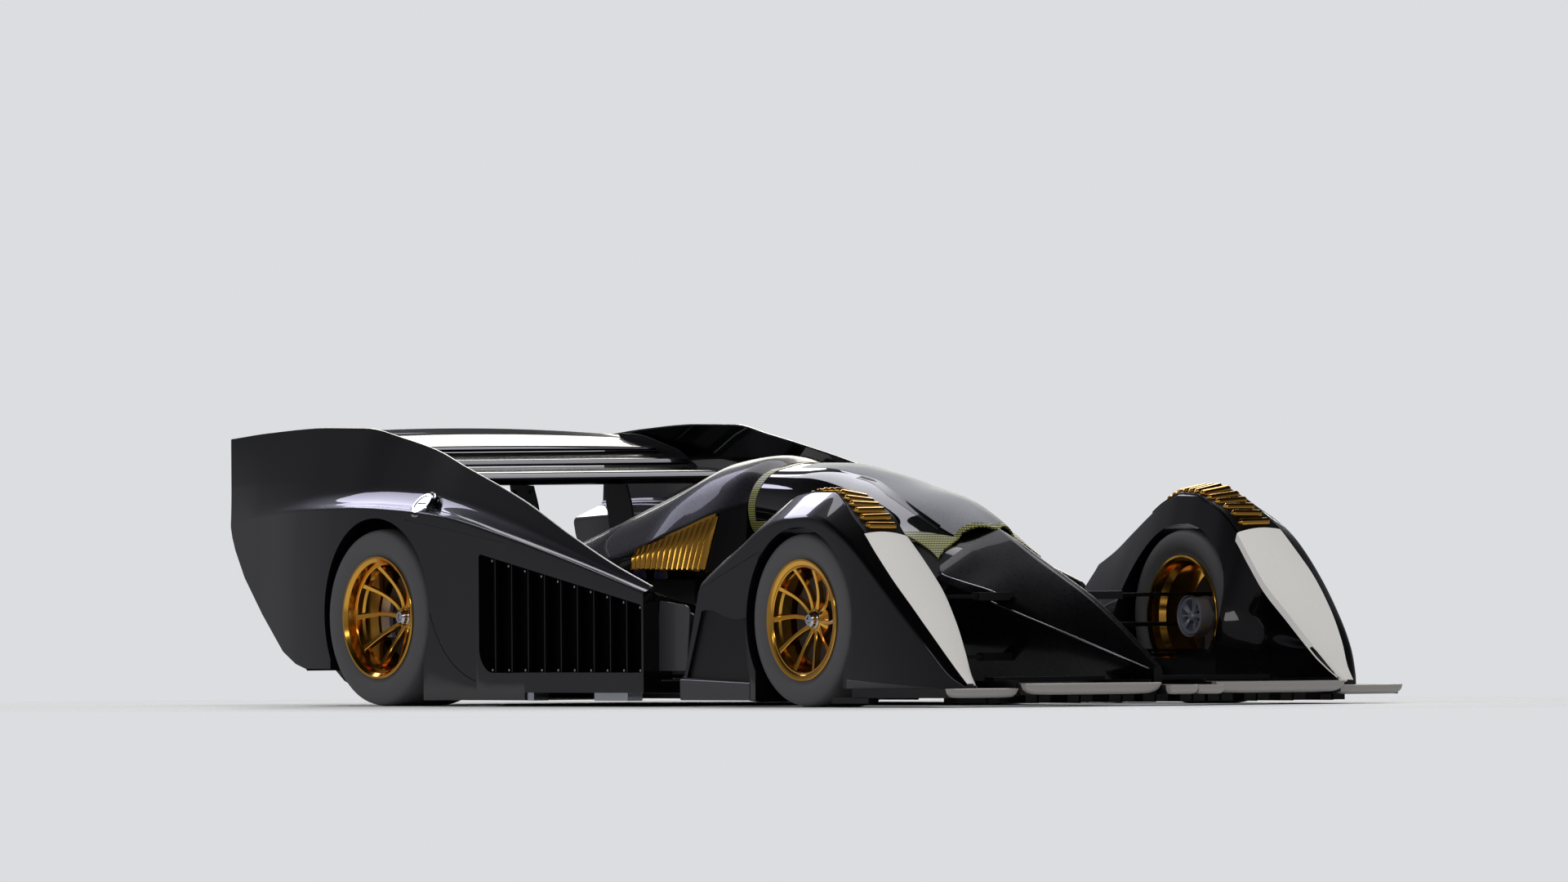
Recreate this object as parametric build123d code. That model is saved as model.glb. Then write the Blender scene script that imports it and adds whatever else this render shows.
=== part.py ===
from build123d import *

import math
import os

# Closed single-seat track hypercar: tub and canopy, front wheel pods, rear side bodies
# with tall tail fins, a three-element rear wing, open wishbones, four centre-lock wheels.
#
# Millimetres. +X forward, +Y to the car's left, +Z up, ground at Z 0. Shapes are drawn at
# stations measured from the front axle (forward is positive), and export moves them so
# that the origin lies under the middle of the car.

# ---------------------------------------------------------------- driving dimensions
WHEELBASE = 3000
FRONT_REACH = 1235          # front axle to the splitter's foremost point
TAIL_REACH = 1265           # rear axle to the fins' trailing edge
HALF_WIDTH = 1100
REAR_AXLE = -WHEELBASE
TAIL = REAR_AXLE - TAIL_REACH
ORIGIN_SHIFT = -(FRONT_REACH + TAIL) / 2

TOUCH_GAP = 0.3             # between pieces that sit on each other with curved faces
RUN_FIT = 0.05              # radial clearance of a shaft in its bore


# ---------------------------------------------------------------- small helpers
def ring_wire(edges):
    """Closed wire from edges in order."""
    return Wire(edges)


def polyline_edges(points):
    """Straight edges through 3D points, closed."""
    return [Edge.make_line(a, b) for a, b in zip(points, points[1:] + points[:1])]


def prism_y(points, y_low, y_high):
    """Side-view polygon of (station, z) points, extruded across the car."""
    face = Face(ring_wire(polyline_edges([(x, y_low, z) for x, z in points])))
    return extrude(face, amount=y_high - y_low, dir=(0, 1, 0))


def prism_z(points, z_low, z_high):
    """Plan-view polygon of (station, y) points, extruded upwards."""
    face = Face(ring_wire(polyline_edges([(x, y, z_low) for x, y in points])))
    return extrude(face, amount=z_high - z_low, dir=(0, 0, 1))


def box(x_low, x_high, y_low, y_high, z_low, z_high):
    """Box from its limits."""
    size = (x_high - x_low, y_high - y_low, z_high - z_low)
    middle = ((x_low + x_high) / 2, (y_low + y_high) / 2, (z_low + z_high) / 2)
    return Location(middle) * Box(*size)


def drum_y(x, z, radius, y_low, y_high):
    """Cylinder whose axis runs across the car."""
    place = Location((x, (y_low + y_high) / 2, z), (90, 0, 0))
    return place * Cylinder(radius, y_high - y_low)


def drum_z(x, y, radius, z_low, z_high):
    """Upright cylinder."""
    return Location((x, y, (z_low + z_high) / 2)) * Cylinder(radius, z_high - z_low)


def rod(start, end, radius):
    """Round bar between two points."""
    a, b = Vector(*start), Vector(*end)
    place = Plane(origin=a, z_dir=b - a)
    return extrude(place * Circle(radius), amount=(b - a).length)


def spin_y(profile, x, z):
    """Profile of (y, radius) points revolved about the cross-car axis through (x, z)."""
    face = Face(ring_wire(polyline_edges([(x, y, z + r) for y, r in profile])))
    return revolve(face, axis=Axis((x, 0, z), (0, 1, 0)), revolution_arc=360)


def mirrored(shape):
    """The same piece on the other side of the car."""
    return mirror(shape, about=Plane.XZ)


def solids_of(shape):
    """Every solid in a shape, largest first."""
    return sorted(shape.solids(), key=lambda s: -s.volume)


def one_solid(shape):
    """The shape's largest solid, without slivers."""
    return solids_of(shape)[0]


DRAWN_WHEELBASE = 3000      # the tables' stations are written for this wheelbase


def st(x):
    """Station for this wheelbase: the stretch between the axles is shared along the cabin."""
    stretch = WHEELBASE - DRAWN_WHEELBASE
    return x - stretch * min(1, max(0, (-x - 400) / (DRAWN_WHEELBASE - 800)))


def loft_along(rows):
    """Solid through cross-sections, each a station and its closed list of (y, z) points."""
    wires = [ring_wire(polyline_edges([(st(x), y, z) for y, z in points])) for x, points in rows]
    return Solid.make_loft(wires, ruled=True)


def loft_across(rows):
    """Solid through side-view sections, each a y and its closed list of (station, z) points."""
    wires = [ring_wire(polyline_edges([(st(x), y, z) for x, z in points])) for y, points in rows]
    return Solid.make_loft(wires, ruled=True)


def both_halves(points):
    """Half section from the centre line outwards, closed by its mirror image."""
    return [(-y, z) for y, z in reversed(points) if y > 0] + points


def between(table, x):
    """Row interpolated at station x in a table sorted by its first column."""
    for low, high in zip(table, table[1:]):
        if low[0] <= x <= high[0]:
            share = (x - low[0]) / (high[0] - low[0])
            return [a + share * (b - a) for a, b in zip(low, high)]
    return list(table[0] if x < table[0][0] else table[-1])


def save(name, *shapes):
    """Writes a node from one or more solids, moved so the origin is under the car's middle."""
    solids = [s for shape in shapes for s in shape.solids()]
    moved = [s.moved(Location((ORIGIN_SHIFT, 0, 0))) for s in solids]
    whole = moved[0] if len(moved) == 1 else Compound(children=moved)
    export_step(whole, f"parts/{name}.step")


# ---------------------------------------------------------------- wheels
RIM_SEAT_R = 228.6          # 18 inch bead seat
RIM_FLANGE_R = 246
BARREL_R = 213
RIM_WALL = 8
SPOKES = 10
WHEEL_FACE_Y = 1090         # tyres' outer faces
NUT_R = 34

# station, tyre radius and width, depth of the hub's face below the outer lip, bearing's inner face
WHEELS = {
    "front": dict(x=0, tyre_r=350, width=330, hub_depth=62, bearing_y=862),
    "rear": dict(x=REAR_AXLE, tyre_r=355, width=370, hub_depth=135, bearing_y=800),
}
LIP_INSET = 8               # the rim's lip lies this far inside the tyre's bulge
TREAD_INSET = 16            # tread is narrower than the bulge, each side
DISC_R = 184
DISC_WIDTH = 32
SPINDLE_R = 30
DISC_BEHIND_HUB = 44        # hub face to the disc's outer face
HUB_LENGTH = 30


def tyre(spec):
    """Slick tyre: flat tread, rounded shoulders, bulged walls, open bore on the bead seat."""
    outer, half = spec["tyre_r"], spec["width"] / 2
    mid = WHEEL_FACE_Y - half
    bead_r = RIM_SEAT_R + TOUCH_GAP
    bead_half = half - LIP_INSET - RIM_WALL - TOUCH_GAP
    tread_half = half - TREAD_INSET
    crown = [
        (-bead_half, bead_r), (-bead_half, RIM_FLANGE_R + 4), (-half, 282), (-half, 304),
        (-tread_half - 6, outer - 12), (-tread_half + 8, outer - 2), (-tread_half + 30, outer),
    ]
    profile = [(mid + y, r) for y, r in crown] + [(mid - y, r) for y, r in reversed(crown)]
    return spin_y(profile, spec["x"], outer)


def hub_face_y(spec):
    """Outer face of the wheel's hub."""
    return WHEEL_FACE_Y - LIP_INSET - spec["hub_depth"]


def rim(spec):
    """Centre-lock rim: barrel with two flanges, ten ridged spokes, hub and nut."""
    x, z, half = spec["x"], spec["tyre_r"], spec["width"] / 2
    out = WHEEL_FACE_Y - LIP_INSET
    inn = WHEEL_FACE_Y - spec["width"] + LIP_INSET
    seat_w, drop = 42, 24
    outside = [
        (out, RIM_FLANGE_R), (out - RIM_WALL, RIM_FLANGE_R), (out - RIM_WALL, RIM_SEAT_R),
        (out - seat_w, RIM_SEAT_R), (out - seat_w - drop, BARREL_R), (inn + seat_w + drop, BARREL_R),
        (inn + seat_w, RIM_SEAT_R), (inn + RIM_WALL, RIM_SEAT_R), (inn + RIM_WALL, RIM_FLANGE_R),
        (inn, RIM_FLANGE_R),
    ]
    inside = [
        (inn, RIM_SEAT_R - RIM_WALL), (inn + seat_w, RIM_SEAT_R - RIM_WALL),
        (inn + seat_w + drop, BARREL_R - RIM_WALL), (out - seat_w - drop, BARREL_R - RIM_WALL),
        (out - seat_w, RIM_SEAT_R - RIM_WALL), (out, RIM_SEAT_R - RIM_WALL + 4),
    ]
    body = spin_y(outside + inside, x, z)
    face = hub_face_y(spec)
    hub = spin_y([(face - HUB_LENGTH, 0), (face - HUB_LENGTH, 78), (face - 10, 62), (face, 46), (face, 0)], x, z)
    nut = spin_y([(face - 4, 0), (face - 4, NUT_R), (face + 20, NUT_R - 4), (face + 26, 20), (face + 26, 0)], x, z)
    foot_r, tip_r = 44, RIM_SEAT_R - 4
    tip_y = out - 6
    side = [
        (foot_r, face - HUB_LENGTH + 2), (foot_r, face - 2), (110, face + (tip_y - face) * 0.22),
        (tip_r, tip_y), (tip_r, tip_y - 22), (110, face - 16 + (tip_y - face) * 0.10),
    ]
    root_w, tip_w = 11, 8
    spoke_face = Face(ring_wire(polyline_edges([(x, y, z + r) for r, y in side])))
    blade = extrude(spoke_face, amount=root_w, dir=(1, 0, 0), both=True)
    taper = [(z + foot_r - 5, root_w), (z + tip_r + 5, tip_w)]
    wedge = Face(ring_wire(polyline_edges([
        (x - taper[0][1], face - 80, taper[0][0]), (x + taper[0][1], face - 80, taper[0][0]),
        (x + taper[1][1], face - 80, taper[1][0]), (x - taper[1][1], face - 80, taper[1][0]),
    ])))
    blade = blade & extrude(wedge, amount=300, dir=(0, 1, 0))
    spokes = []
    axis = Axis((x, 0, z), (0, 1, 0))
    for k in range(SPOKES):
        spokes.append(one_solid(blade).rotate(axis, 360 / SPOKES * k))
    return one_solid(body + [hub, nut] + spokes)


BELL_R = 70


def brake_disc(spec, shaft_to=None):
    """Carbon disc on its bell, with the spindle that turns in the upright's bearing."""
    x, z, face = spec["x"], spec["tyre_r"], hub_face_y(spec)
    back = face - HUB_LENGTH - TOUCH_GAP
    disc_out = face - DISC_BEHIND_HUB
    disc = spin_y([(disc_out - DISC_WIDTH, BELL_R - 8), (disc_out - DISC_WIDTH, DISC_R),
                   (disc_out, DISC_R), (disc_out, BELL_R - 8)], x, z)
    bell = spin_y([(disc_out - DISC_WIDTH, 0), (disc_out - DISC_WIDTH, BELL_R),
                   (back, BELL_R), (back, 0)], x, z)
    end = spec["bearing_y"] if shaft_to is None else shaft_to
    spindle = drum_y(x, z, SPINDLE_R, end, disc_out - DISC_WIDTH + 2)
    return one_solid(disc + [bell, spindle])


# ---------------------------------------------------------------- uprights and suspension
KINGPIN_Y = 915
POST_HALF = 16              # half the post's width across the car
UPPER_Z, LOWER_Z = 438, 196
ARM_T = 14                  # wishbone blade thickness
PIN_R = 11
HOUSING_R = 58
TRACK_ARM = 110             # steering arm's reach behind the kingpin
TRACK_Z = 318
STEER_EYE_R = 14
UPRIGHT_GAP = 4             # upright to the arms above and below it


def upright(spec, steered):
    """Bearing housing, post between the ball joints, caliper and brake duct."""
    x, z = spec["x"], spec["tyre_r"]
    inner = spec["bearing_y"]
    disc_in = hub_face_y(spec) - DISC_BEHIND_HUB - DISC_WIDTH
    outer = disc_in - 8
    pin_y = KINGPIN_Y if steered else inner + 20
    z_low, z_high = LOWER_Z + ARM_T / 2 + UPRIGHT_GAP, UPPER_Z - ARM_T / 2 - UPRIGHT_GAP
    housing = drum_y(x, z, HOUSING_R, inner, outer)
    post = box(x - 26, x + 26, pin_y - POST_HALF, pin_y + POST_HALF, z_low, z_high)
    whole = housing + post
    gap = 6
    saddle = (
        drum_y(x, z, DISC_R + gap + 6, disc_in - 26, disc_in + DISC_WIDTH + 24)
        - drum_y(x, z, DISC_R - 46, disc_in - 60, disc_in + 90)
        - drum_y(x, z, DISC_R + gap, disc_in - gap, disc_in + DISC_WIDTH + gap)
    )
    lead = 1 if steered else -1
    saddle = saddle & box(x + lead * 152 - 62, x + lead * 152 + 62, 600, 1200, z - 80, z + 80)
    bridge = box(min(x + lead * 40, x + lead * 170), max(x + lead * 40, x + lead * 170),
                 outer - 14, outer, z - 24, z + 24)
    whole = whole + saddle + bridge
    duct = drum_y(x, z, 74, inner - 52, inner) - drum_y(x, z, 66, inner - 60, inner + 1)
    ribs = [box(x - 70, x + 70, inner - 40, inner + 1, z - 3, z + 3),
            box(x - 3, x + 3, inner - 40, inner + 1, z - 70, z + 70)]
    if steered:
        spokes = ribs[0] + ribs[1]
        whole = whole + (duct + (spokes - drum_y(x, z, 20, inner - 60, inner + 2)))
        arm = box(x - TRACK_ARM - 16, x - 20, pin_y - 14, pin_y + 14, TRACK_Z - 32, TRACK_Z - 14)
        eye = drum_z(x - TRACK_ARM, pin_y, 18, TRACK_Z - 32, TRACK_Z - 14)
        stud = drum_z(x - TRACK_ARM, pin_y, 7, TRACK_Z - 15, TRACK_Z + 12)
        whole = whole + arm + eye + stud
    whole = whole - drum_y(x, z, SPINDLE_R + RUN_FIT, inner - 200, outer + 30)
    whole = whole - drum_z(x, pin_y, PIN_R + RUN_FIT, z_high - 40, z_high + 5)
    whole = whole - drum_z(x, pin_y, PIN_R + RUN_FIT, z_low - 5, z_low + 40)
    return one_solid(whole)


def wishbone(x, z, pin_y, root_y, spread, pin_up):
    """Bladed V arm from two pick-ups on the body to the pin in the upright."""
    t = ARM_T / 2
    legs = None
    for side in (1, -1):
        foot = x + side * spread
        leg = prism_z([(x - 12, pin_y + 14), (x + 12, pin_y + 14), (foot + 16, root_y), (foot - 16, root_y)],
                      z - t, z + t)
        legs = leg if legs is None else legs + leg
    knuckle = drum_z(x, pin_y, 22, z - t, z + t)
    if pin_up:
        pin = drum_z(x, pin_y, PIN_R, z, z + t + 34)
    else:
        pin = drum_z(x, pin_y, PIN_R, z - t - 34, z)
    return one_solid(legs + knuckle + pin)


FRONT_UPPER_Y, FRONT_LOWER_Y = 350, 330    # wishbone feet on the nose
GEARBOX_HALF = 238
REAR_PICKUP_Y = GEARBOX_HALF + TOUCH_GAP
FOOT_SPREAD = {"front": 170, "rear": 200}  # feet ahead of and behind the axle


def wishbones():
    """Upper and lower arms of both sides, by axle, as separate solids."""
    arms = {"front": [], "rear": []}
    rear_pin = WHEELS["rear"]["bearing_y"] + 20
    for z, up, foot_y in ((UPPER_Z, False, FRONT_UPPER_Y), (LOWER_Z, True, FRONT_LOWER_Y)):
        arms["front"].append(wishbone(0, z, KINGPIN_Y, foot_y, FOOT_SPREAD["front"], up))
        arms["rear"].append(wishbone(REAR_AXLE, z, rear_pin, REAR_PICKUP_Y, FOOT_SPREAD["rear"], up))
    return {end: group + [mirrored(a) for a in group] for end, group in arms.items()}


def steering_rack():
    """Rack bar with both track rods; their eyes sit over the steering arms' studs."""
    x = -TRACK_ARM
    whole = rod((x, -KINGPIN_Y, TRACK_Z), (x, KINGPIN_Y, TRACK_Z), RACK_R)
    for side in (1, -1):
        whole = whole + drum_z(x, side * KINGPIN_Y, STEER_EYE_R + 6, TRACK_Z - 6, TRACK_Z + 9)
    for side in (1, -1):
        whole = whole - drum_z(x, side * KINGPIN_Y, STEER_EYE_R - 2, TRACK_Z - 30, TRACK_Z + 30)
    return one_solid(whole)


# ---------------------------------------------------------------- front splitter
SPLIT_GAP = 0.3
# y from, y to, station of the back and of the front edge, underside, top
SPLITTER_STEPS = [
    (0, 133, 700, FRONT_REACH, 50, 72),
    (133, 777, 640, 1167, 74, 105),
    (777, HALF_WIDTH, 385, 1090, 45, 75),
]
FOOT_PLATE = (1052, HALF_WIDTH, 240, 500, 30, 45)
FLAP = (700, 765)           # upper deck's stations: back and front
DECK_Z = 118
NOSE_KEEL_Z = 92
SPLITTER_VANES = [(90, 760), (240, 740), (430, 720), (620, 700), (840, 660)]  # y, back station
VANE_Z = 29


def front_splitter():
    """Stepped plane in front of the wheels, with its foot plates, deck strip and vanes."""
    whole = None
    for side in (1, -1):
        for y0, y1, back, front, low, high in SPLITTER_STEPS:
            nose_out = front - (y1 - y0) * 0.04
            plan = [(back, side * y0), (front, side * y0), (nose_out, side * y1), (back, side * y1)]
            slab = prism_z(plan, low, high)
            whole = slab if whole is None else whole + slab
        for y in (133, 777):
            low = 45 if y == 777 else 50
            whole = whole + box(640, 1090, side * y - 6, side * y + 6, low, 105)
        y0, y1, back, front, low, high = FOOT_PLATE
        foot = box(back, front, min(side * y0, side * y1), max(side * y0, side * y1), low, high + 2)
        whole = whole + foot
        for y, back in SPLITTER_VANES:
            top = 80 if 133 < y < 777 else 52
            whole = whole + box(back, back + 300, side * y - 4, side * y + 4, VANE_Z, top)
    back, front = FLAP
    deck = box(back, front, 133, POD_INNER - 4, 100, DECK_Z)
    keel = box(720, 900, -50, 50, 60, NOSE_KEEL_Z - TOUCH_GAP)
    return one_solid(whole + deck + mirrored(deck) + keel)


# ---------------------------------------------------------------- front wheel pods
POD_OUTER = 1093
POD_INNER = 676
FENCE_T = 12                # low inner wall beside the tyre
FENCE_TOP = 219
POD_SILL = 27
FRONT_ARCH_R = 377
POD_REAR = (-690, -845)     # raked rear edge: station at its top and at the sill
POCKET_DEPTH = 12           # recess in the flank behind the wheel
SIDE_POCKET = [(-793, 118), (-330, 100), (-352, 150), (-396, 240), (-404, 300), (-404, 361),
               (-450, 353), (-520, 360), (-590, 378), (-640, 389), (-686, 385)]

# station, shoulder z, crest outer y, z, crest inner y, z, side face y
POD = [
    (-860, 400, 1055, 432, 845, 492, POD_OUTER),
    (-584, 548, 1047, 592, 838, 603, POD_OUTER),
    (-415, 640, 1030, 686, 822, 687, POD_OUTER),
    (-300, 700, 996, 777, 812, 745, POD_OUTER),
    (-175, 742, 958, 852, 806, 805, POD_OUTER),
    (-58, 758, 949, 864, 804, 838, POD_OUTER),
    (45, 762, 951, 864, 803, 836, POD_OUTER),
    (143, 752, 972, 826, 802, 808, POD_OUTER),
    (245, 716, 1000, 764, 801, 768, POD_OUTER),
    (343, 664, 1010, 700, 808, 690, 1091),
    (435, 598, 1014, 628, 812, 600, 1087),
    (546, 503, 1020, 533, 814, 494, 1079),
    (703, 357, 1006, 382, 844, 368, 1056),
    (828, 234, 978, 247, 877, 252, 1024),
    (915, 130, 948, 142, 899, 154, 985),
    (967, 84, 938, 92, 908, 93, 950),
]


def pod_section(row, lift):
    """One side's cross-section: outer wall, lean, crest, inner lean and low inner wall."""
    _, z_shoulder, y_out, z_out, y_in, z_in, y_side = row
    inner = POD_INNER if row[0] < 800 else y_in - (y_in - POD_INNER) * (967 - row[0]) / 140
    inner = min(inner, y_in - 14)
    fence = min(FENCE_TOP + 8, z_in - 8)
    return [
        (y_side, POD_SILL), (y_side, z_shoulder + lift), (y_out, z_out + lift), (y_in, z_in + lift),
        (inner + 18, fence + lift * 0.5 + (z_in - fence) * 0.30), (inner, fence), (inner, POD_SILL),
    ]


def pod_block(lift=0.0):
    """The whole pod before its wheel opening is cut."""
    return loft_along([(row[0], pod_section(row, lift)) for row in POD])


BLADE_T = 8
BLADE_BACK = 352            # the blade starts where the louvres end
LOUVRE_BACK = -246
LOUVRE_COUNT = 12
LOUVRE_RISE = 14
LOUVRE_W = 34
PLATE_RISE = 4


def crest(x):
    """Height, lean across and slope along the pod's top at a station."""
    row, ahead = between(POD, x), between(POD, x + 30)
    z = (row[3] + row[5]) / 2
    lean = math.degrees(math.atan2(row[3] - row[5], row[2] - row[4]))
    return z, lean, math.degrees(math.atan2((ahead[3] + ahead[5]) / 2 - z, 30)), row


def strip_plan(back, front, inset):
    """Plan of the pod's top strip between two stations."""
    rows = [between(POD, back)] + [r for r in POD if back < r[0] < front] + [between(POD, front)]
    inner = [(r[0], r[4] + inset) for r in rows]
    outer = [(r[0], r[2] - inset) for r in reversed(rows)]
    return prism_z(inner + outer, 60, 1000)


def fender_blade(block, lowered):
    """Pale strip let into the pod's diving edge, flush with its surface."""
    return one_solid((block & strip_plan(BLADE_BACK, 962, 0)) - lowered)


def fender_louvres(block):
    """Bright plate of cross bars on the pod's crown, growing wider towards the front."""
    plate = (pod_block(PLATE_RISE) & strip_plan(LOUVRE_BACK, BLADE_BACK - 1, 3)) - block
    whole = one_solid(plate)
    pitch = (BLADE_BACK - LOUVRE_BACK - 40) / LOUVRE_COUNT
    for k in range(LOUVRE_COUNT):
        x = LOUVRE_BACK + 30 + k * pitch
        z, lean, slope, row = crest(x)
        share = k / (LOUVRE_COUNT - 1)
        half = 40 + 24 * min(1.0, share * 1.6)
        w, h = LOUVRE_W / 2, LOUVRE_RISE
        outline = [(-w, 0), (w, 0), (w, 5), (w * 0.5, h), (-w * 0.3, h), (-w, 5)]
        bar = Plane.XZ * make_face(Polyline(*outline, outline[0]))
        bar = extrude(bar, amount=half, both=True)
        place = Location(((x), (row[2] + row[4]) / 2, z + 1), (0, 0, 0))
        bar = bar.moved(Location((0, 0, 0), (lean, 0, 0))).moved(Location((0, 0, 0), (0, -slope, 0)))
        whole = whole + (bar.moved(place) - block)
    return one_solid(whole)


def front_fender(block, blade, louvres):
    """Pod with its wheel opening, raked rear edge and fence, minus what is let into it."""
    z_axle = WHEELS["front"]["tyre_r"]
    arch = drum_y(0, z_axle, FRONT_ARCH_R, POD_INNER + FENCE_T, 1300)
    opening = drum_y(0, z_axle, FRONT_ARCH_R, 500, 1300) & box(-600, 600, 500, 1300, FENCE_TOP, 1000)
    tunnel = box(-FRONT_ARCH_R + 50, FRONT_ARCH_R - 50, POD_INNER + FENCE_T, 1300, 0, z_axle) & arch
    top_x, foot_x = POD_REAR
    wedge = prism_y([(foot_x - 400, -10), (foot_x, -10), (foot_x, POD_SILL), (top_x, 535),
                     (top_x + 60, 1000), (foot_x - 400, 1000)], 400, 1300)
    body = block - arch - opening - tunnel - wedge - blade
    body = body - prism_y(SIDE_POCKET, POD_OUTER - POCKET_DEPTH, 1300)
    body = body - box(-96, 96, 600, POD_INNER + 20, LOWER_Z - 12, LOWER_Z + 12)
    body = body - box(240, 1100, 500, 1300, 0, 75 + SPLIT_GAP)
    body = body - box(560, 1100, 500, 783 + SPLIT_GAP, 0, 105 + SPLIT_GAP)
    body = body - box(640, 770, 500, POD_INNER + 2, 0, DECK_Z + SPLIT_GAP)
    return one_solid(body)


# ---------------------------------------------------------------- tub, nose and canopy
CANOPY_REAR, CANOPY_FRONT = -1525, -165
COVER_FRONT = CANOPY_REAR - 5    # the engine cover's ring stands just behind the canopy
ROOM_FRONT = -260           # footwell's front wall
ROOM_FLOOR = 112
FLOOR_LOW, FLOOR_HIGH = 30, 50
TUB_FLOOR = FLOOR_HIGH + TOUCH_GAP
HINGES = (-1200, -650)      # stations of the canopy's two hinges, on its left sill
HINGE_Y, HINGE_Z = 318, 690
HINGE_R, HINGE_PIN_R = 11, 6
KNUCKLE, EAR_T = 60, 12     # lengths of the canopy's knuckle and of the tub's ears beside it

# station, then half section from the top centre: (y, z) pairs
TUB = [
    (-1925, [(0, 600), (220, 600), (270, 540), (285, 200), (250, TUB_FLOOR)]),
    (COVER_FRONT - 1, [(0, 680), (250, 680), (280, 560), (290, 200), (270, TUB_FLOOR)]),
    (COVER_FRONT + 4, [(0, 690), (285, 690), (342, 560), (350, 200), (300, TUB_FLOOR)]),
    (-615, [(0, 690), (302, 690), (345, 560), (350, 200), (300, TUB_FLOOR)]),
    (-160 - TOUCH_GAP, [(0, 640), (300, 611), (335, 541), (310, 200), (250, 60)]),
]
NOSE = [
    (-160, [(0, 708), (160, 684), (300, 606), (335, 541), (300, 250), (190, 85)]),
    (-57, [(24, 655), (150, 585), (288, 535), (328, 500), (290, 250), (190, 85)]),
    (85, [(26, 588), (140, 532), (272, 496), (322, 468), (268, 246), (175, 86)]),
    (293, [(28, 512), (110, 488), (240, 452), (310, 436), (235, 240), (150, 88)]),
    (445, [(27, 450), (80, 430), (190, 385), (238, 362), (188, 205), (122, 90)]),
    (685, [(24, 310), (60, 290), (108, 262), (138, 245), (112, 150), (80, NOSE_KEEL_Z)]),
    (950, [(18, 146), (19, 132), (20, 118), (22, 106), (20, 98), (16, NOSE_KEEL_Z)]),
]
RACK_R = 9
RACK_TUNNEL_R = RACK_R + TOUCH_GAP


def core_brackets(side):
    """Lugs on the nose that carry the wishbones' front feet."""
    lugs = []
    x = FOOT_SPREAD["front"]
    for z, y in ((UPPER_Z, FRONT_UPPER_Y), (LOWER_Z, FRONT_LOWER_Y)):
        y0, y1 = sorted((side * 180, side * (y - TOUCH_GAP)))
        lugs.append(box(x - 24, x + 24, y0, y1, z - 16, z + 16))
    return lugs


def tub_lugs(side):
    """The rear feet's lugs, on the tub."""
    lugs = []
    x = -FOOT_SPREAD["front"]
    for z, y in ((UPPER_Z, FRONT_UPPER_Y), (LOWER_Z, FRONT_LOWER_Y)):
        y0, y1 = sorted((side * 200, side * (y - TOUCH_GAP)))
        lugs.append(box(x - 24, x - 8, y0, y1, z - 16, z + 16))
    return lugs


def nose_cone():
    """Ridged nose from the cockpit's front bulkhead to the tip, over the suspension."""
    rows = [(x, both_halves(half)) for x, half in NOSE]
    body = loft_along(rows)
    for side in (1, -1):
        for lug in core_brackets(side):
            body = body + lug
    tunnel = rod((-TRACK_ARM, -600, TRACK_Z), (-TRACK_ARM, 600, TRACK_Z), RACK_TUNNEL_R)
    body = body - tunnel
    return one_solid(body)


def hinge_ears(x):
    """The tub's half of one canopy hinge: two ears on its left sill and the pin between them."""
    reach = KNUCKLE / 2 + 1 + EAR_T
    ears = rod((x - reach, HINGE_Y, HINGE_Z), (x + reach, HINGE_Y, HINGE_Z), HINGE_PIN_R)
    for x0 in (x - reach, x + reach - EAR_T):
        ears = ears + rod((x0, HINGE_Y, HINGE_Z), (x0 + EAR_T, HINGE_Y, HINGE_Z), HINGE_R)
        ears = ears + box(x0, x0 + EAR_T, HINGE_Y - 40, HINGE_Y, HINGE_Z - 20, HINGE_Z - 1)
    return ears


def hinge_knuckle(x, sill_y):
    """The canopy's half of one hinge: knuckle on the pin and the leaf that joins it to the sill."""
    half = KNUCKLE / 2
    knuckle = rod((x - half, HINGE_Y, HINGE_Z), (x + half, HINGE_Y, HINGE_Z), HINGE_R)
    leaf = box(x - half, x + half, sill_y - 4, HINGE_Y, HINGE_Z + 5, HINGE_Z + HINGE_R)
    bore = rod((x - half - 5, HINGE_Y, HINGE_Z), (x + half + 5, HINGE_Y, HINGE_Z), HINGE_PIN_R + RUN_FIT)
    return knuckle + leaf - bore


def tub():
    """Monocoque with its open cockpit and footwell."""
    body = loft_along([(x, both_halves(half)) for x, half in TUB])
    room = loft_along([
        (-1470, both_halves([(0, 800), (240, 800), (285, 560), (285, 200), (240, ROOM_FLOOR)])),
        (-700, both_halves([(0, 800), (245, 800), (285, 560), (285, 200), (240, ROOM_FLOOR)])),
        (ROOM_FRONT, both_halves([(0, 800), (215, 800), (230, 500), (230, 200), (200, ROOM_FLOOR)])),
    ])
    head_rows = [(x, both_halves(cover_half(COVER[0], COVER_T + 6, 0))) for x in (-1556, -1540)]
    headrest = loft_along(head_rows) & box(st(-1600), st(-1500), -400, 400, 640, 1000)
    body = body - room + headrest
    for side in (1, -1):
        for lug in tub_lugs(side):
            body = body + lug
    for x in HINGES:
        body = body + hinge_ears(st(x))
    return one_solid(body)


# station, sill y, z, side bulge y, z, crease y, z, roof z
CANOPY = [
    (CANOPY_REAR, 262, 697, 286, 800, 125, 948, 968),
    (-1265, 275, 697, 280, 800, 120, 948, 968),
    (-928, 292, 697, 268, 790, 125, 905, 934),
    (-707, 302, 697, 272, 770, 162, 858, 898),
    (-486, 305, 693, 285, 745, 199, 796, 844),
    (-300, 303, 660, 290, 705, 230, 740, 792),
    (CANOPY_FRONT, 298, 616, 285, 652, 235, 668, 718),
]
GLASS_T = 6
FRAME_W = 28


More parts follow.
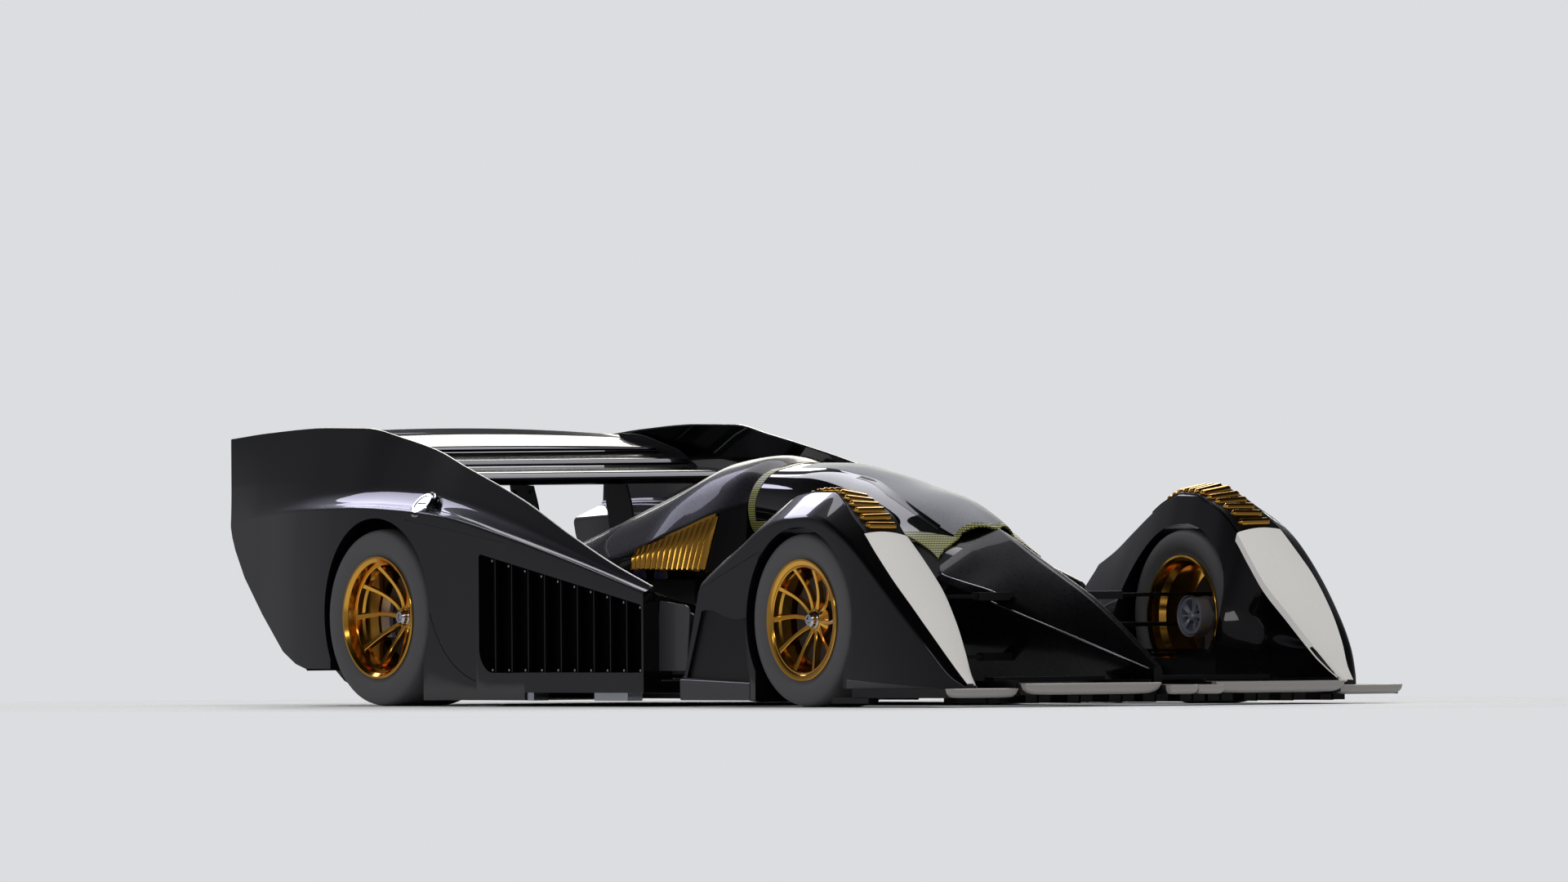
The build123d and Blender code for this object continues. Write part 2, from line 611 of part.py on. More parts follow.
def canopy_solid(shrink, rows=None):
    """Closed bubble through the canopy's sections, shrunk all round by a thickness."""
    wires = []
    for x, ys, zs, yb, zb, yc, zc, zt in rows or CANOPY:
        a, c = (ys - shrink, zs - 1.5 * shrink), (yc, zc - shrink)
        b = (yb - shrink, zb)

        def p(point):
            return (st(x), point[0], point[1])

        def m(point):
            return (st(x), -point[0], point[1])

        wires.append(ring_wire([
            Edge.make_line(m(a), p(a)),
            Edge.make_three_point_arc(p(a), p(b), p(c)),
            Edge.make_three_point_arc(p(c), (st(x), 0, zt - shrink), m(c)),
            Edge.make_three_point_arc(m(c), m(b), m(a)),
        ]))
    return Solid.make_loft(wires, ruled=True)


def canopy_parts():
    """Glass shell and the composite frame round its edges."""
    outer, inner = canopy_solid(0), canopy_solid(GLASS_T)
    shell = outer - inner - box(-1700, 0, -400, 400, 500, 612)
    back = box(CANOPY_REAR - 5, CANOPY_REAR + FRAME_W, -400, 400, 500, 1000)
    front = box(CANOPY_FRONT - FRAME_W * 0.8, CANOPY_FRONT + 5, -400, 400, 500, 1000)
    sill = prism_y([(-1600, 600), (-1600, 697 + FRAME_W), (-600, 697 + FRAME_W), (-486, 693 + FRAME_W),
                    (-350, 700), (-160, 692), (-100, 600)], -400, 400)
    edge = back + front + sill
    frame = shell & edge
    for x in HINGES:
        frame = frame + hinge_knuckle(st(x), between(CANOPY, x)[1])
    return one_solid(shell - edge), one_solid(frame)


# ---------------------------------------------------------------- engine cover
COVER_T = 8
# station, roof z, upper side y, z, lower side y, z
COVER = [
    (COVER_FRONT, 974, 288, 800, 300, 540),
    (-1675, 1000, 330, 771, 400, 532),
    (-1852, 984, 385, 705, 425, 536),
    (-2085, 905, 440, 628, 452, 542),
    (-2415, 806, 425, 565, 445, 500),
    (-2761, 702, 380, 530, 412, 472),
    (-3215, 572, 285, 500, 305, 470),
]


def cover_half(row, shrink, foot):
    """Half section of the engine cover: crowned roof, side, and foot."""
    _, top, y_up, z_up, y_low, z_low = row
    return [
        (0, top - shrink), (y_up * 0.34, top - 0.06 * (top - z_up) - shrink),
        (y_up * 0.70, top - 0.36 * (top - z_up) - shrink), (y_up - shrink, z_up - shrink * 0.5),
        (y_low - shrink, z_low - foot),
    ]


def engine_cover():
    """Spine from the cockpit's rear ring down to the tail, open underneath."""
    outer = loft_along([(row[0], both_halves(cover_half(row, 0, 0))) for row in COVER])
    inner = loft_along([(row[0] + (10 if k == 0 else 0), both_halves(cover_half(row, COVER_T, 30)))
                        for k, row in enumerate(COVER)])
    slots = box(st(-3250), st(-3060), PYLON_Y - 12, PYLON_Y + 12, 380, 720)
    return one_solid(outer - inner - slots - mirrored(slots))


COVER_LOUVRE = (-2085, -1675)
COVER_SLATS = 14


def flank_strip(x, inner, outer, margin):
    """Section of a plate on the cover's flank: how far its faces stand off, and its edge margin."""
    _, _, y_up, z_up, y_low, z_low = between(sorted(COVER), x)
    share = margin / (z_up - z_low)
    low = (y_low + share * (y_up - y_low), z_low + margin)
    up = (y_up - share * (y_up - y_low), z_up - margin)
    return [(low[0] + inner, low[1]), (low[0] + outer, low[1]), (up[0] + outer, up[1]), (up[0] + inner, up[1])]


def cover_louvre():
    """Gold slatted panel standing on the engine cover's flank."""
    back, front = COVER_LOUVRE
    stations = [back] + [row[0] for row in reversed(COVER) if back < row[0] < front] + [front]
    panel = loft_along([(x, flank_strip(x, TOUCH_GAP, 9, 5)) for x in stations])
    pitch = (front - back) / COVER_SLATS
    for k in range(COVER_SLATS):
        x = back + (k + 0.5) * pitch
        panel = panel + loft_along([(x + dx, flank_strip(x + dx, 5, 24, 12)) for dx in (-4, 4)])
    return one_solid(panel)


# ---------------------------------------------------------------- side bodies and tail fins
REAR_ARCH_R = 384
ARCH_LIFT = 14              # the opening's centre above the axle
SIDE_SILL = 25

# station, side y, shoulder z, fin root y, z, fin top y, z, inner wall y, inner deck z
SIDE = [
    (-4265, 920, 724, 916, 800, 916, 1067, 748, 748),
    (-4000, 972, 755, 958, 812, 908, 1092, 715, 762),
    (-3583, 1050, 786, 1000, 812, 900, 1113, 696, 778),
    (-3323, 1078, 793, 1005, 812, 900, 1112, 690, 780),
    (-3100, 1088, 797, 1006, 810, 895, 1077, 690, 778),
    (-2854, 1090, 789, 1008, 802, 905, 1031, 690, 755),
    (-2553, 1090, 765, 1012, 780, 953, 957, 690, 690),
    (-2095, 1090, 683, 1030, 700, 990, 825, 700, 560),
    (-1705, 1090, 600, 1046, 610, 1020, 681, 700, 470),
    (-1387, 1090, 528, 1055, 530, 1040, 570, 720, 430),
    (-1105, 1090, 461, 1064, 463, 1050, 484, 760, 400),
]
FIN_T = 14
FIN_SEAT = 26               # how far the fin's foot is wide

# tail's underside, raked up to the trailing edge: station, z
TAIL_RAKE = [(-3430, 20), (-3540, 147), (-3756, 218), (-3959, 365), (-4132, 512), (-4225, 640),
             (-4266, 724), (-4400, 724), (-4400, -10), (-3430, -10)]


def side_section(row):
    """Side body without its fin: side wall, shoulder, channel, deck and inner wall."""
    _, y_side, z_shoulder, y_root, z_root, y_top, z_top, y_in, z_deck = row
    y_foot = y_root - FIN_SEAT
    deck_y = max(y_in + 6, y_foot - 8)
    return [(y_side, SIDE_SILL), (y_side, z_shoulder), (y_root, z_root), (y_foot, z_root - 2),
            (min(deck_y, y_foot - 4), z_root - 12), (y_in, z_deck - 14), (y_in, SIDE_SILL)]


def fin_section(row):
    """Fin on the side body: foot on the channel, leaning inwards to a thin top edge."""
    _, _, _, y_root, z_root, y_top, z_top, _, _ = row
    return [(y_root - 1, z_root + TOUCH_GAP), (y_top, z_top), (y_top - FIN_T, z_top - 1),
            (y_root - FIN_SEAT + 1, z_root + TOUCH_GAP - 1.6)]


GRILLE_TOP = [(-2267, 612), (-1118, 409)]
GRILLE_BOTTOM = 135
GRILLE_DEPTH = 70
GRILLE_SLATS = 10
SLAT_T = 6


def grille_outline(inset):
    """Side-view outline of the side inlet, inset all round."""
    (x0, z0), (x1, z1) = GRILLE_TOP
    return [(st(x0) + inset, GRILLE_BOTTOM + 60), (st(x0) + inset, z0 - inset), (st(x1) - inset, z1 - inset),
            (st(x1) - inset, GRILLE_BOTTOM + inset), (st(x0) + 60 + inset, GRILLE_BOTTOM + inset)]


def side_grille():
    """Angled vertical slats between two rails, in the side body's inlet."""
    (x0, z0), (x1, z1) = GRILLE_TOP
    y_face = 1088
    frame = prism_y(grille_outline(TOUCH_GAP), y_face - GRILLE_DEPTH + 1, y_face - GRILLE_DEPTH + 8)
    pitch = (x1 - x0 - 120) / (GRILLE_SLATS - 1)
    for k in range(GRILLE_SLATS):
        x = st(x0 + 84 + k * pitch)
        share = (x - st(x0)) / (st(x1) - st(x0))
        top = z0 + (z1 - z0) * share - 8
        slat = prism_z([(x - 18, y_face - GRILLE_DEPTH + 4), (x - 18 + SLAT_T, y_face - GRILLE_DEPTH + 4),
                        (x + 22 + SLAT_T, y_face - 4), (x + 22, y_face - 4)], GRILLE_BOTTOM + 10, top)
        frame = frame + slat
    return one_solid(frame)


def side_body():
    """Sidepod and rear wheel body in one panel, with inlet, wheel opening and raked tail."""
    body = loft_along([(row[0], side_section(row)) for row in SIDE])
    z_axle = WHEELS["rear"]["tyre_r"]
    body = body - drum_y(REAR_AXLE, z_axle + ARCH_LIFT, REAR_ARCH_R, 600, 1300)
    body = body - box(REAR_AXLE - REAR_ARCH_R + 45, REAR_AXLE + REAR_ARCH_R - 45, 600, 1300, 0, 200)
    body = body - prism_y([(st(x), z) for x, z in TAIL_RAKE], 500, 1300)
    body = body - prism_y([(st(-3430), -10), (REAR_AXLE - 200, -10), (REAR_AXLE - 200, 148),
                           (st(-3540), 148)], 500, 1300)
    body = body - prism_y(grille_outline(0), 1088 - GRILLE_DEPTH, 1300)
    step = prism_y([(st(-1815), 0), (st(-1815), 58), (st(-1000), 58), (st(-1000), 0)], 500, 1300)
    return one_solid(body - step)


def tail_fin():
    """Tall fin on the side body."""
    return loft_along([(row[0], fin_section(row)) for row in SIDE])


DECK_LOUVRE = (-3650, -2810)
DECK_BARS, DECK_BAR_R = 17, 11
DECK_PLATE_T = 4


def deck_point(x, share, lift):
    """Point above the deck over the rear wheel, part of the way from its inner to its outer edge."""
    outer, inner = side_section(between(sorted(SIDE), x))[4:6]
    return (inner[0] + share * (outer[0] - inner[0]), inner[1] + share * (outer[1] - inner[1]) + lift)


def deck_louvres():
    """Gold bars across a strip on the deck over the rear wheel."""
    back, front = DECK_LOUVRE
    inside, outside = 0.07, 0.62
    stations = [back] + [row[0] for row in SIDE if back < row[0] < front] + [front]
    top = TOUCH_GAP + DECK_PLATE_T
    panel = loft_along([(x, [deck_point(x, inside, TOUCH_GAP), deck_point(x, outside, TOUCH_GAP),
                             deck_point(x, outside, top), deck_point(x, inside, top)]) for x in stations])
    pitch = (front - back) / DECK_BARS
    for k in range(DECK_BARS):
        x = back + (k + 0.5) * pitch
        ends = [(st(x), *deck_point(x, share, top + 0.7 * DECK_BAR_R)) for share in (inside + 0.03, outside - 0.03)]
        panel = panel + rod(*ends, DECK_BAR_R)
    return one_solid(panel)


CAP_R = 54


def filler_cap():
    """Round filler cap in the channel below the fin."""
    place = Location((st(-2718), 1046, 806), (-60, 0, 0))
    return place * Cylinder(CAP_R, 26)


# ---------------------------------------------------------------- rear wing
WING_HALF = 868
ENDPLATE_T = 8
# side-view outlines, stations behind the front axle
MAIN_PLANE = [(-3090, 900), (-3130, 876), (-3330, 884), (-3642, 940), (-3640, 948), (-3330, 930), (-3130, 934)]
MID_PLANE = [(-3622, 956), (-3642, 948), (-3760, 966), (-3872, 1000), (-3870, 1007), (-3760, 990), (-3640, 976)]
TOP_FLAP = [(-3850, 1016), (-3872, 1004), (-3990, 1032), (-4112, 1096), (-4108, 1103), (-3990, 1058),
            (-3868, 1030)]
FLAP_DROOP = 34             # how far the top flap's edge falls from the middle to its ends


def wing_plane(outline, half, droop=0.0):
    """One wing element, crowned towards the middle."""
    low = min(z for _, z in outline)
    high = max(z for _, z in outline)
    rows = []
    for share in (-1, -0.5, 0, 0.5, 1):
        fall = droop * share**2
        rows.append((share * half, [(x, z - fall * (z - low) / (high - low)) for x, z in outline]))
    return loft_across(rows)


def wing_endplates():
    """Small plates on the main plane's ends that carry the two flaps."""
    outline = [(-3560, 936), (-4120, 936), (-4150, 1000), (-4128, 1076), (-3960, 1070), (-3700, 1010)]
    plate = prism_y([(st(x), z) for x, z in outline], WING_HALF + TOUCH_GAP, WING_HALF + ENDPLATE_T)
    return [plate, mirrored(plate)]


def wing_brackets(side_y):
    """Feet of the main plane on the fins' inner faces."""
    return box(st(-3420), st(-3180), side_y, side_y + 30, 884, 924)


PYLON_Y = 228
PYLON_T = 10


def wing_pylons():
    """Two posts from the gearbox to the underside of the main plane."""
    outline = [(-3132, 875.7), (-3290, 882), (-3262, 740), (-3225, 560), (-3215, GEARBOX_Z[1] - 34),
               (-3090, GEARBOX_Z[1] - 8), (-3100, 560), (-3080, 740)]
    post = prism_y([(st(x), z) for x, z in outline], PYLON_Y - PYLON_T / 2, PYLON_Y + PYLON_T / 2)
    return [post, mirrored(post)]


# ---------------------------------------------------------------- floor, diffuser, running gear
def floor_pan():
    """Flat carbon floor between the axles, narrow beside the rear wheels."""
    beside = [(st(row[0]), row[7] - TOUCH_GAP) for row in reversed(SIDE) if row[0] > -3400]
    plan = [(-120, 180), (-460, 300), (-900, 600)] + beside + [(st(-3400), 640)]
    outline = plan + [(x, -y) for x, y in reversed(plan)]
    return prism_z([(x, y) for x, y in outline], FLOOR_LOW, FLOOR_HIGH)


def diffuser():
    """Rising tunnel behind the floor, with strakes and side walls."""
    outline = [(-3400 - TOUCH_GAP, 30), (-3400 - TOUCH_GAP, 50), (-4050, 300), (-4056, 284)]
    whole = prism_y([(st(x), z) for x, z in outline], -640, 640)
    for y in (-636, -380, -130, 130, 380, 636):
        fin = prism_y([(st(-3450), 56), (st(-4050), 292), (st(-4050), 110), (st(-3700), 40), (st(-3450), 34)],
                      y - 4, y + 4)
        whole = whole + fin
    return one_solid(whole)


ENGINE = (-2560, -1925 - TOUCH_GAP, 215, 110, 500)
GEARBOX_Z = (170, 470)
GEARBOX_BACK = -3240


def engine_block():
    """Engine as one plain block between the tub and the gearbox."""
    back, front, half, low, high = ENGINE
    return box(st(back), st(front), -half, half, low, high)


def gearbox():
    """Gearbox case, carrier of the rear wishbones, with the crash beam behind."""
    low, high = GEARBOX_Z
    front = st(ENGINE[0]) - TOUCH_GAP
    back = st(GEARBOX_BACK)
    case = prism_y([(front, low), (front, high), (back + 200, high), (back, high - 40), (back, low)],
                   -GEARBOX_HALF, GEARBOX_HALF)
    beam = box(st(-4120), back + 40, -70, 70, 330, 430)
    saddle = box(st(-2960), st(-2900), -90, 90, high - 5, EXHAUST_Z - EXHAUST_R + 10)
    pipes = [rod((st(-2990), side * EXHAUST_Y, EXHAUST_Z), (st(-2880), side * EXHAUST_Y, EXHAUST_Z),
                 EXHAUST_R + TOUCH_GAP) for side in (1, -1)]
    return one_solid(case + beam + saddle - pipes)


EXHAUST_R, EXHAUST_WALL = 34, 4
EXHAUST_Y, EXHAUST_Z = 52, 514


def exhausts():
    """Two tailpipes over the gearbox, open at the tail."""
    pipes = []
    for side in (1, -1):
        y = side * EXHAUST_Y
        front, back, floor = st(-2640), st(-3340), st(-3040)
        pipes.append(rod((front, y, EXHAUST_Z), (back, y, EXHAUST_Z), EXHAUST_R)
                     - rod((floor, y, EXHAUST_Z), (back - 5, y, EXHAUST_Z), EXHAUST_R - EXHAUST_WALL))
    return pipes


def rain_light():
    """Lamp on the end of the crash beam."""
    return box(st(-4140), st(-4120) - TOUCH_GAP, -60, 60, 335, 425)


# ---------------------------------------------------------------- cockpit
def seat():
    """Reclined seat shell with raised sides."""
    outline = [(-1440, 610), (-1400, 610), (-1180, 210), (-860, 180), (-720, 250), (-720, ROOM_FLOOR + TOUCH_GAP),
               (-1240, ROOM_FLOOR + TOUCH_GAP), (-1440, 520)]
    return prism_y([(st(x), z) for x, z in outline], -190, 190)


WHEEL_Z = 560
COLUMN_R = 16
COLUMN_TILT = math.radians(22.3)


def steering_wheel():
    """Small flat-bottomed wheel with a column to the dash."""
    middle = st(-760)
    place = Plane(origin=(middle, 0, WHEEL_Z), z_dir=(-math.cos(COLUMN_TILT), 0, math.sin(COLUMN_TILT)))
    rim_ring = Location(place.location) * (Cylinder(140, 22) - Cylinder(112, 30))
    hub = Location(place.location) * Box(230, 90, 24)
    end = ROOM_FRONT - TOUCH_GAP - COLUMN_R * math.sin(COLUMN_TILT)
    start = middle + 8
    drop = math.tan(COLUMN_TILT)
    column = rod((start, 0, WHEEL_Z - (start - middle) * drop), (end, 0, WHEEL_Z - (end - middle) * drop),
                 COLUMN_R)
    return one_solid(rim_ring + hub + column)


def main():
    """Builds and writes every node."""
    os.makedirs("parts", exist_ok=True)
    for end, spec in WHEELS.items():
        steered = end == "front"
        shaft = None if steered else GEARBOX_HALF + 2
        for name, shape in (("tyre", tyre(spec)), ("rim", rim(spec)), ("brake_disc", brake_disc(spec, shaft)),
                            ("upright", upright(spec, steered))):
            save(f"{name}_{end}_left", shape)
            save(f"{name}_{end}_right", mirrored(shape))
    arms = wishbones()
    save("front_wishbones", *arms["front"])
    save("rear_wishbones", *arms["rear"])
    save("steering_rack", steering_rack())

    block = pod_block()
    blade = fender_blade(block, pod_block(-BLADE_T))
    louvres = fender_louvres(block)
    fender = front_fender(block, blade, louvres)
    for name, shape in (("front_fender", fender), ("fender_blade", blade), ("fender_louvres", louvres)):
        save(f"{name}_left", shape)
        save(f"{name}_right", mirrored(shape))
    save("front_splitter", front_splitter())

    save("tub", tub())
    save("nose_cone", nose_cone())
    glass, frame = canopy_parts()
    save("canopy_glass", glass)
    save("canopy_frame", frame)
    save("engine_cover", engine_cover())
    save("cover_louvre_left", cover_louvre())
    save("cover_louvre_right", mirrored(cover_louvre()))

    body, fin, grille = side_body(), tail_fin(), side_grille()
    for name, shape in (("side_body", body), ("tail_fin", fin), ("side_grille", grille)):
        save(f"{name}_left", shape)
        save(f"{name}_right", mirrored(shape))
    save("deck_louvres_left", deck_louvres())
    save("deck_louvres_right", mirrored(deck_louvres()))
    cap = filler_cap() - body
    save("filler_caps", one_solid(cap), mirrored(one_solid(cap)))

    save("wing_main", wing_plane(MAIN_PLANE, WING_HALF))
    save("wing_flaps", wing_plane(MID_PLANE, WING_HALF), wing_plane(TOP_FLAP, WING_HALF, FLAP_DROOP))
    save("wing_endplates", *wing_endplates())
    save("wing_pylons", *wing_pylons())

    save("floor_pan", floor_pan())
    save("diffuser", diffuser())
    save("engine_block", engine_block())
    save("gearbox", gearbox())
    save("exhausts", *exhausts())
    save("rain_light", rain_light())
    save("seat", seat())
    save("steering_wheel", steering_wheel())


main()
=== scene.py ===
import bpy
import bmesh
import math
import numpy as np
from mathutils import Euler, Matrix, Vector


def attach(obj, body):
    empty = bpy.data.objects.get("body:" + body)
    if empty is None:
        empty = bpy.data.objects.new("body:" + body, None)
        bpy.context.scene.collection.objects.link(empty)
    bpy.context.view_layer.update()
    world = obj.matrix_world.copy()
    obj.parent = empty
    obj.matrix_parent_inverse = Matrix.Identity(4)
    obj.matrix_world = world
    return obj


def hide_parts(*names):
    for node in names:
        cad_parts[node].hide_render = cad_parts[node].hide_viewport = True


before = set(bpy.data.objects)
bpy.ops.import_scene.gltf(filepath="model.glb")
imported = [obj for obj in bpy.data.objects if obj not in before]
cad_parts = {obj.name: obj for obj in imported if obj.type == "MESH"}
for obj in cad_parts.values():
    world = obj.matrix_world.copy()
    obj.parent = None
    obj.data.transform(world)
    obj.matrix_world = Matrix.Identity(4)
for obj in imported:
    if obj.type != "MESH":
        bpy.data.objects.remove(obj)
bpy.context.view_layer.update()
MM = 0.001


# ------------------------------------------------------------------ camera
# A parallel view from the car's front right quarter, almost level with the ground, as a very
# long lens would give.
AZIMUTH = math.radians(55.5)
ELEVATION = math.radians(0.36)
ROLL = math.radians(-0.37)
DISTANCE = 40.0
FRAME_WIDTH = 6.283                      # metres across the frame
AIM = Vector((0.0, 0.0, 1.056))
SIDE_SHIFT = -0.097                      # the frame's middle lies this far left of the origin

toward = Vector((math.sin(AZIMUTH) * math.cos(ELEVATION), -math.cos(AZIMUTH) * math.cos(ELEVATION),
                 math.sin(ELEVATION)))
right = Vector((math.cos(AZIMUTH), math.sin(AZIMUTH), 0.0))
camera_data = bpy.data.cameras.new("camera")
camera = bpy.data.objects.new("camera", camera_data)
bpy.context.collection.objects.link(camera)
camera_data.type = "ORTHO"
camera_data.ortho_scale = FRAME_WIDTH
camera_data.clip_start = 0.5
camera_data.clip_end = 400.0
aim = AIM + right * SIDE_SHIFT
camera.location = aim + toward * DISTANCE
camera.rotation_euler = (toward.to_track_quat("Z", "Y") @ Euler((0, 0, ROLL)).to_quaternion()).to_euler()
bpy.context.scene.camera = camera
bpy.context.scene.view_settings.view_transform = "Standard"


# ------------------------------------------------------------------ studio
# A pale seamless floor under a soft sky: bright low down, dark overhead, so that lacquer shows
# grey flanks and black tops, with softboxes for the crisp highlights.
def linear(hex_colour):
    """sRGB hex string to linear RGBA."""
    values = [int(hex_colour[i:i + 2], 16) / 255 for i in (1, 3, 5)]
    return [v / 12.92 if v <= 0.04045 else ((v + 0.055) / 1.055) ** 2.4 for v in values] + [1.0]


def add(tree, kind, settings=None, stops=(), to=None, **inputs):
    """Adds a node: its properties, its colour stops, the socket it feeds, and its inputs by name or
    as i and an index."""
    node = tree.nodes.new(kind)
    for key, value in (settings or {}).items():
        setattr(node, key, value)
    for k, (position, colour) in enumerate(stops):
        elements = node.color_ramp.elements
        element = elements[k] if k < len(elements) else elements.new(position)
        element.position = position
        element.color = linear(colour)
    for key, value in inputs.items():
        numbered = key[0] == "i" and key[1:].isdigit()
        socket = node.inputs[int(key[1:]) if numbered else key.replace("_", " ")]
        if isinstance(value, bpy.types.NodeSocket):
            tree.links.new(value, socket)
        else:
            socket.default_value = value
    if to:
        tree.links.new(node.outputs[0], to)
    return node


BACKDROP = "#DCDDE0"
world = bpy.data.worlds.new("studio")
bpy.context.scene.world = world
world.use_nodes = True
sky = world.node_tree
sky.nodes.clear()
direction = add(sky, "ShaderNodeTexCoord")
height = add(sky, "ShaderNodeSeparateXYZ", i0=direction.outputs["Generated"])
lift = add(sky, "ShaderNodeMapRange", i0=height.outputs["Z"], i1=-1.0, i2=1.0, i3=0.0, i4=1.0)
# share of the way from straight down to straight up, colour
SKY_STOPS = [(0.0, "#74747A"), (0.49, "#848489"), (0.53, "#808086"), (0.60, "#707075"),
             (0.70, "#626268"), (0.78, "#3A3A3E"), (0.88, "#18181A"), (1.0, "#0E0E0F")]
glossy_sky = add(sky, "ShaderNodeValToRGB", stops=SKY_STOPS, i0=lift.outputs[0])
ray = add(sky, "ShaderNodeLightPath")
SKY_DIFFUSE = 0.62
soft = add(sky, "ShaderNodeMix", {"data_type": "RGBA"}, Factor=ray.outputs["Is Diffuse Ray"],
           i6=glossy_sky.outputs[0], i7=(SKY_DIFFUSE, SKY_DIFFUSE, SKY_DIFFUSE * 1.02, 1))
seen = add(sky, "ShaderNodeMix", {"data_type": "RGBA"}, Factor=ray.outputs["Is Camera Ray"],
           i6=soft.outputs[2], i7=linear(BACKDROP))
background = add(sky, "ShaderNodeBackground", Color=seen.outputs[2], Strength=1.0)
add(sky, "ShaderNodeOutputWorld", Surface=background.outputs[0])

# name, place (m), aim (m), width, height, radiance, colour, and whether it gives diffuse light or
# shows only in reflections
SOFTBOXES = [
    ("rear_box", (-16.4, -1.0, 11.6), (0, 0, 0.8), 10.5, 2.6, 5.0, "#E8E6FF", False),
    ("wing_box", (-24.9, 17.5, 10.8), (-2.5, 0, 1.05), 13.0, 8.4, 4.0, "#FFFCF2", False),
    ("canopy_box", (-3.6, 2.2, 6.6), (1.0, -0.1, 0.85), 5.0, 4.6, 2.3, "#F6F6FF", False),
    ("front_right_box", (7.0, -16.0, 7.0), (0.6, 0, 0.4), 9.0, 1.6, 2.6, "#FFFFFF", False),
    ("front_box", (18.0, -3.0, 10.0), (1.0, 0, 0.3), 5.0, 3.0, 4.0, "#FFFFFF", False),
    ("overhead", (0.0, 0.0, 9.0), (0, 0, 0), 7.0, 5.0, 1.1, "#FFFFFF", True),
]
for name, stand_at, target, width, depth, radiance, colour, diffuse in SOFTBOXES:
    lamp = bpy.data.lights.new(name, "AREA")
    lamp.shape = "RECTANGLE"
    lamp.size, lamp.size_y = width, depth
    lamp.energy = radiance * math.pi * width * depth
    lamp.color = linear(colour)[:3]
    stand = bpy.data.objects.new(name, lamp)
    bpy.context.collection.objects.link(stand)
    stand.location = stand_at
    stand.rotation_euler = (Vector(stand_at) - Vector(target)).to_track_quat("Z", "Y").to_euler()
    stand.visible_diffuse = diffuse
    stand.visible_glossy = not diffuse

# The floor is a matt card that fades into the backdrop in an oval round the car.
FLOOR_HALF = 90.0                        # metres
FADE_FROM, FADE_TO = 1.9, 3.8            # metres across the car; along it the oval is longer
OVAL = (0.6, 1.0, 1.0)
floor_mesh = bpy.data.meshes.new("floor")
floor_mesh.from_pydata([(-FLOOR_HALF, -FLOOR_HALF, 0), (FLOOR_HALF, -FLOOR_HALF, 0),
                        (FLOOR_HALF, FLOOR_HALF, 0), (-FLOOR_HALF, FLOOR_HALF, 0)], [], [(0, 1, 2, 3)])
floor = bpy.data.objects.new("floor", floor_mesh)
bpy.context.collection.objects.link(floor)
floor_mat = bpy.data.materials.new("seamless_floor")
floor_mat.use_nodes = True
tree = floor_mat.node_tree
tree.nodes.clear()
spot = add(tree, "ShaderNodeTexCoord")
oval = add(tree, "ShaderNodeVectorMath", {"operation": "MULTIPLY"}, i0=spot.outputs["Object"], i1=OVAL)
away = add(tree, "ShaderNodeVectorMath", {"operation": "LENGTH"}, i0=oval.outputs["Vector"])
fade = add(tree, "ShaderNodeMapRange", {"interpolation_type": "SMOOTHSTEP"}, i0=away.outputs["Value"],
           i1=FADE_FROM, i2=FADE_TO)
card = add(tree, "ShaderNodeBsdfPrincipled", Base_Color=linear("#EDEEF0"), Roughness=0.6)
clear = add(tree, "ShaderNodeBsdfTransparent")
blend = add(tree, "ShaderNodeMixShader", i0=fade.outputs[0], i1=card.outputs[0], i2=clear.outputs[0])
add(tree, "ShaderNodeOutputMaterial", Surface=blend.outputs[0])
floor_mesh.materials.append(floor_mat)


# ------------------------------------------------------------------ wheel pods
# Each front wheel runs in a lacquered carbon pod: a flat flank, a leaning shoulder and a narrow
# crest that rises over the wheel and dives to a point at the splitter. One moulding, open inside.
def new_material(name, base, roughness, metallic=0.0, **sockets):
    """Principled material and its tree."""
    material = bpy.data.materials.new(name)
    material.use_nodes = True
    shader = material.node_tree.nodes["Principled BSDF"]
    shader.inputs["Base Color"].default_value = linear(base)
    shader.inputs["Roughness"].default_value = roughness
    shader.inputs["Metallic"].default_value = metallic
    for key, value in sockets.items():
        shader.inputs[key.replace("_", " ")].default_value = value
    return material, material.node_tree, shader


def object_mm(tree):
    """Object coordinates in millimetres."""
    coords = add(tree, "ShaderNodeTexCoord")
    return add(tree, "ShaderNodeVectorMath", {"operation": "SCALE"}, i0=coords.outputs["Object"],
               Scale=1000.0).outputs[0]


def grain(tree, shader, size_mm, depth_mm, low, high):
    """Fine relief from noise of a real size, with the roughness going from low to high over it."""
    noise = add(tree, "ShaderNodeTexNoise", Vector=object_mm(tree), Scale=1 / size_mm, Detail=3.0)
    height = noise.outputs["Fac"]
    add(tree, "ShaderNodeBump", to=shader.inputs["Normal"], Height=height, Distance=depth_mm * MM)
    add(tree, "ShaderNodeMapRange", to=shader.inputs["Roughness"], i0=height, i1=0.3, i2=0.7, i3=low, i4=high)
    return height


# Lacquered carbon, polished: black under a clear gloss coat with the faintest orange peel.
lacquer, tree, shader = new_material("lacquered_carbon_polished", "#060607", 0.3, Coat_Weight=1.0,
                                     Coat_Roughness=0.02, Specular_IOR_Level=0.12)
PEEL = 14.0                              # mm from one swell of the coat to the next
peel = add(tree, "ShaderNodeTexNoise", Vector=object_mm(tree), Scale=1 / PEEL, Detail=1.0)
add(tree, "ShaderNodeBump", to=shader.inputs["Coat Normal"], Height=peel.outputs["Fac"], Distance=0.02 * MM,
    Strength=0.6)


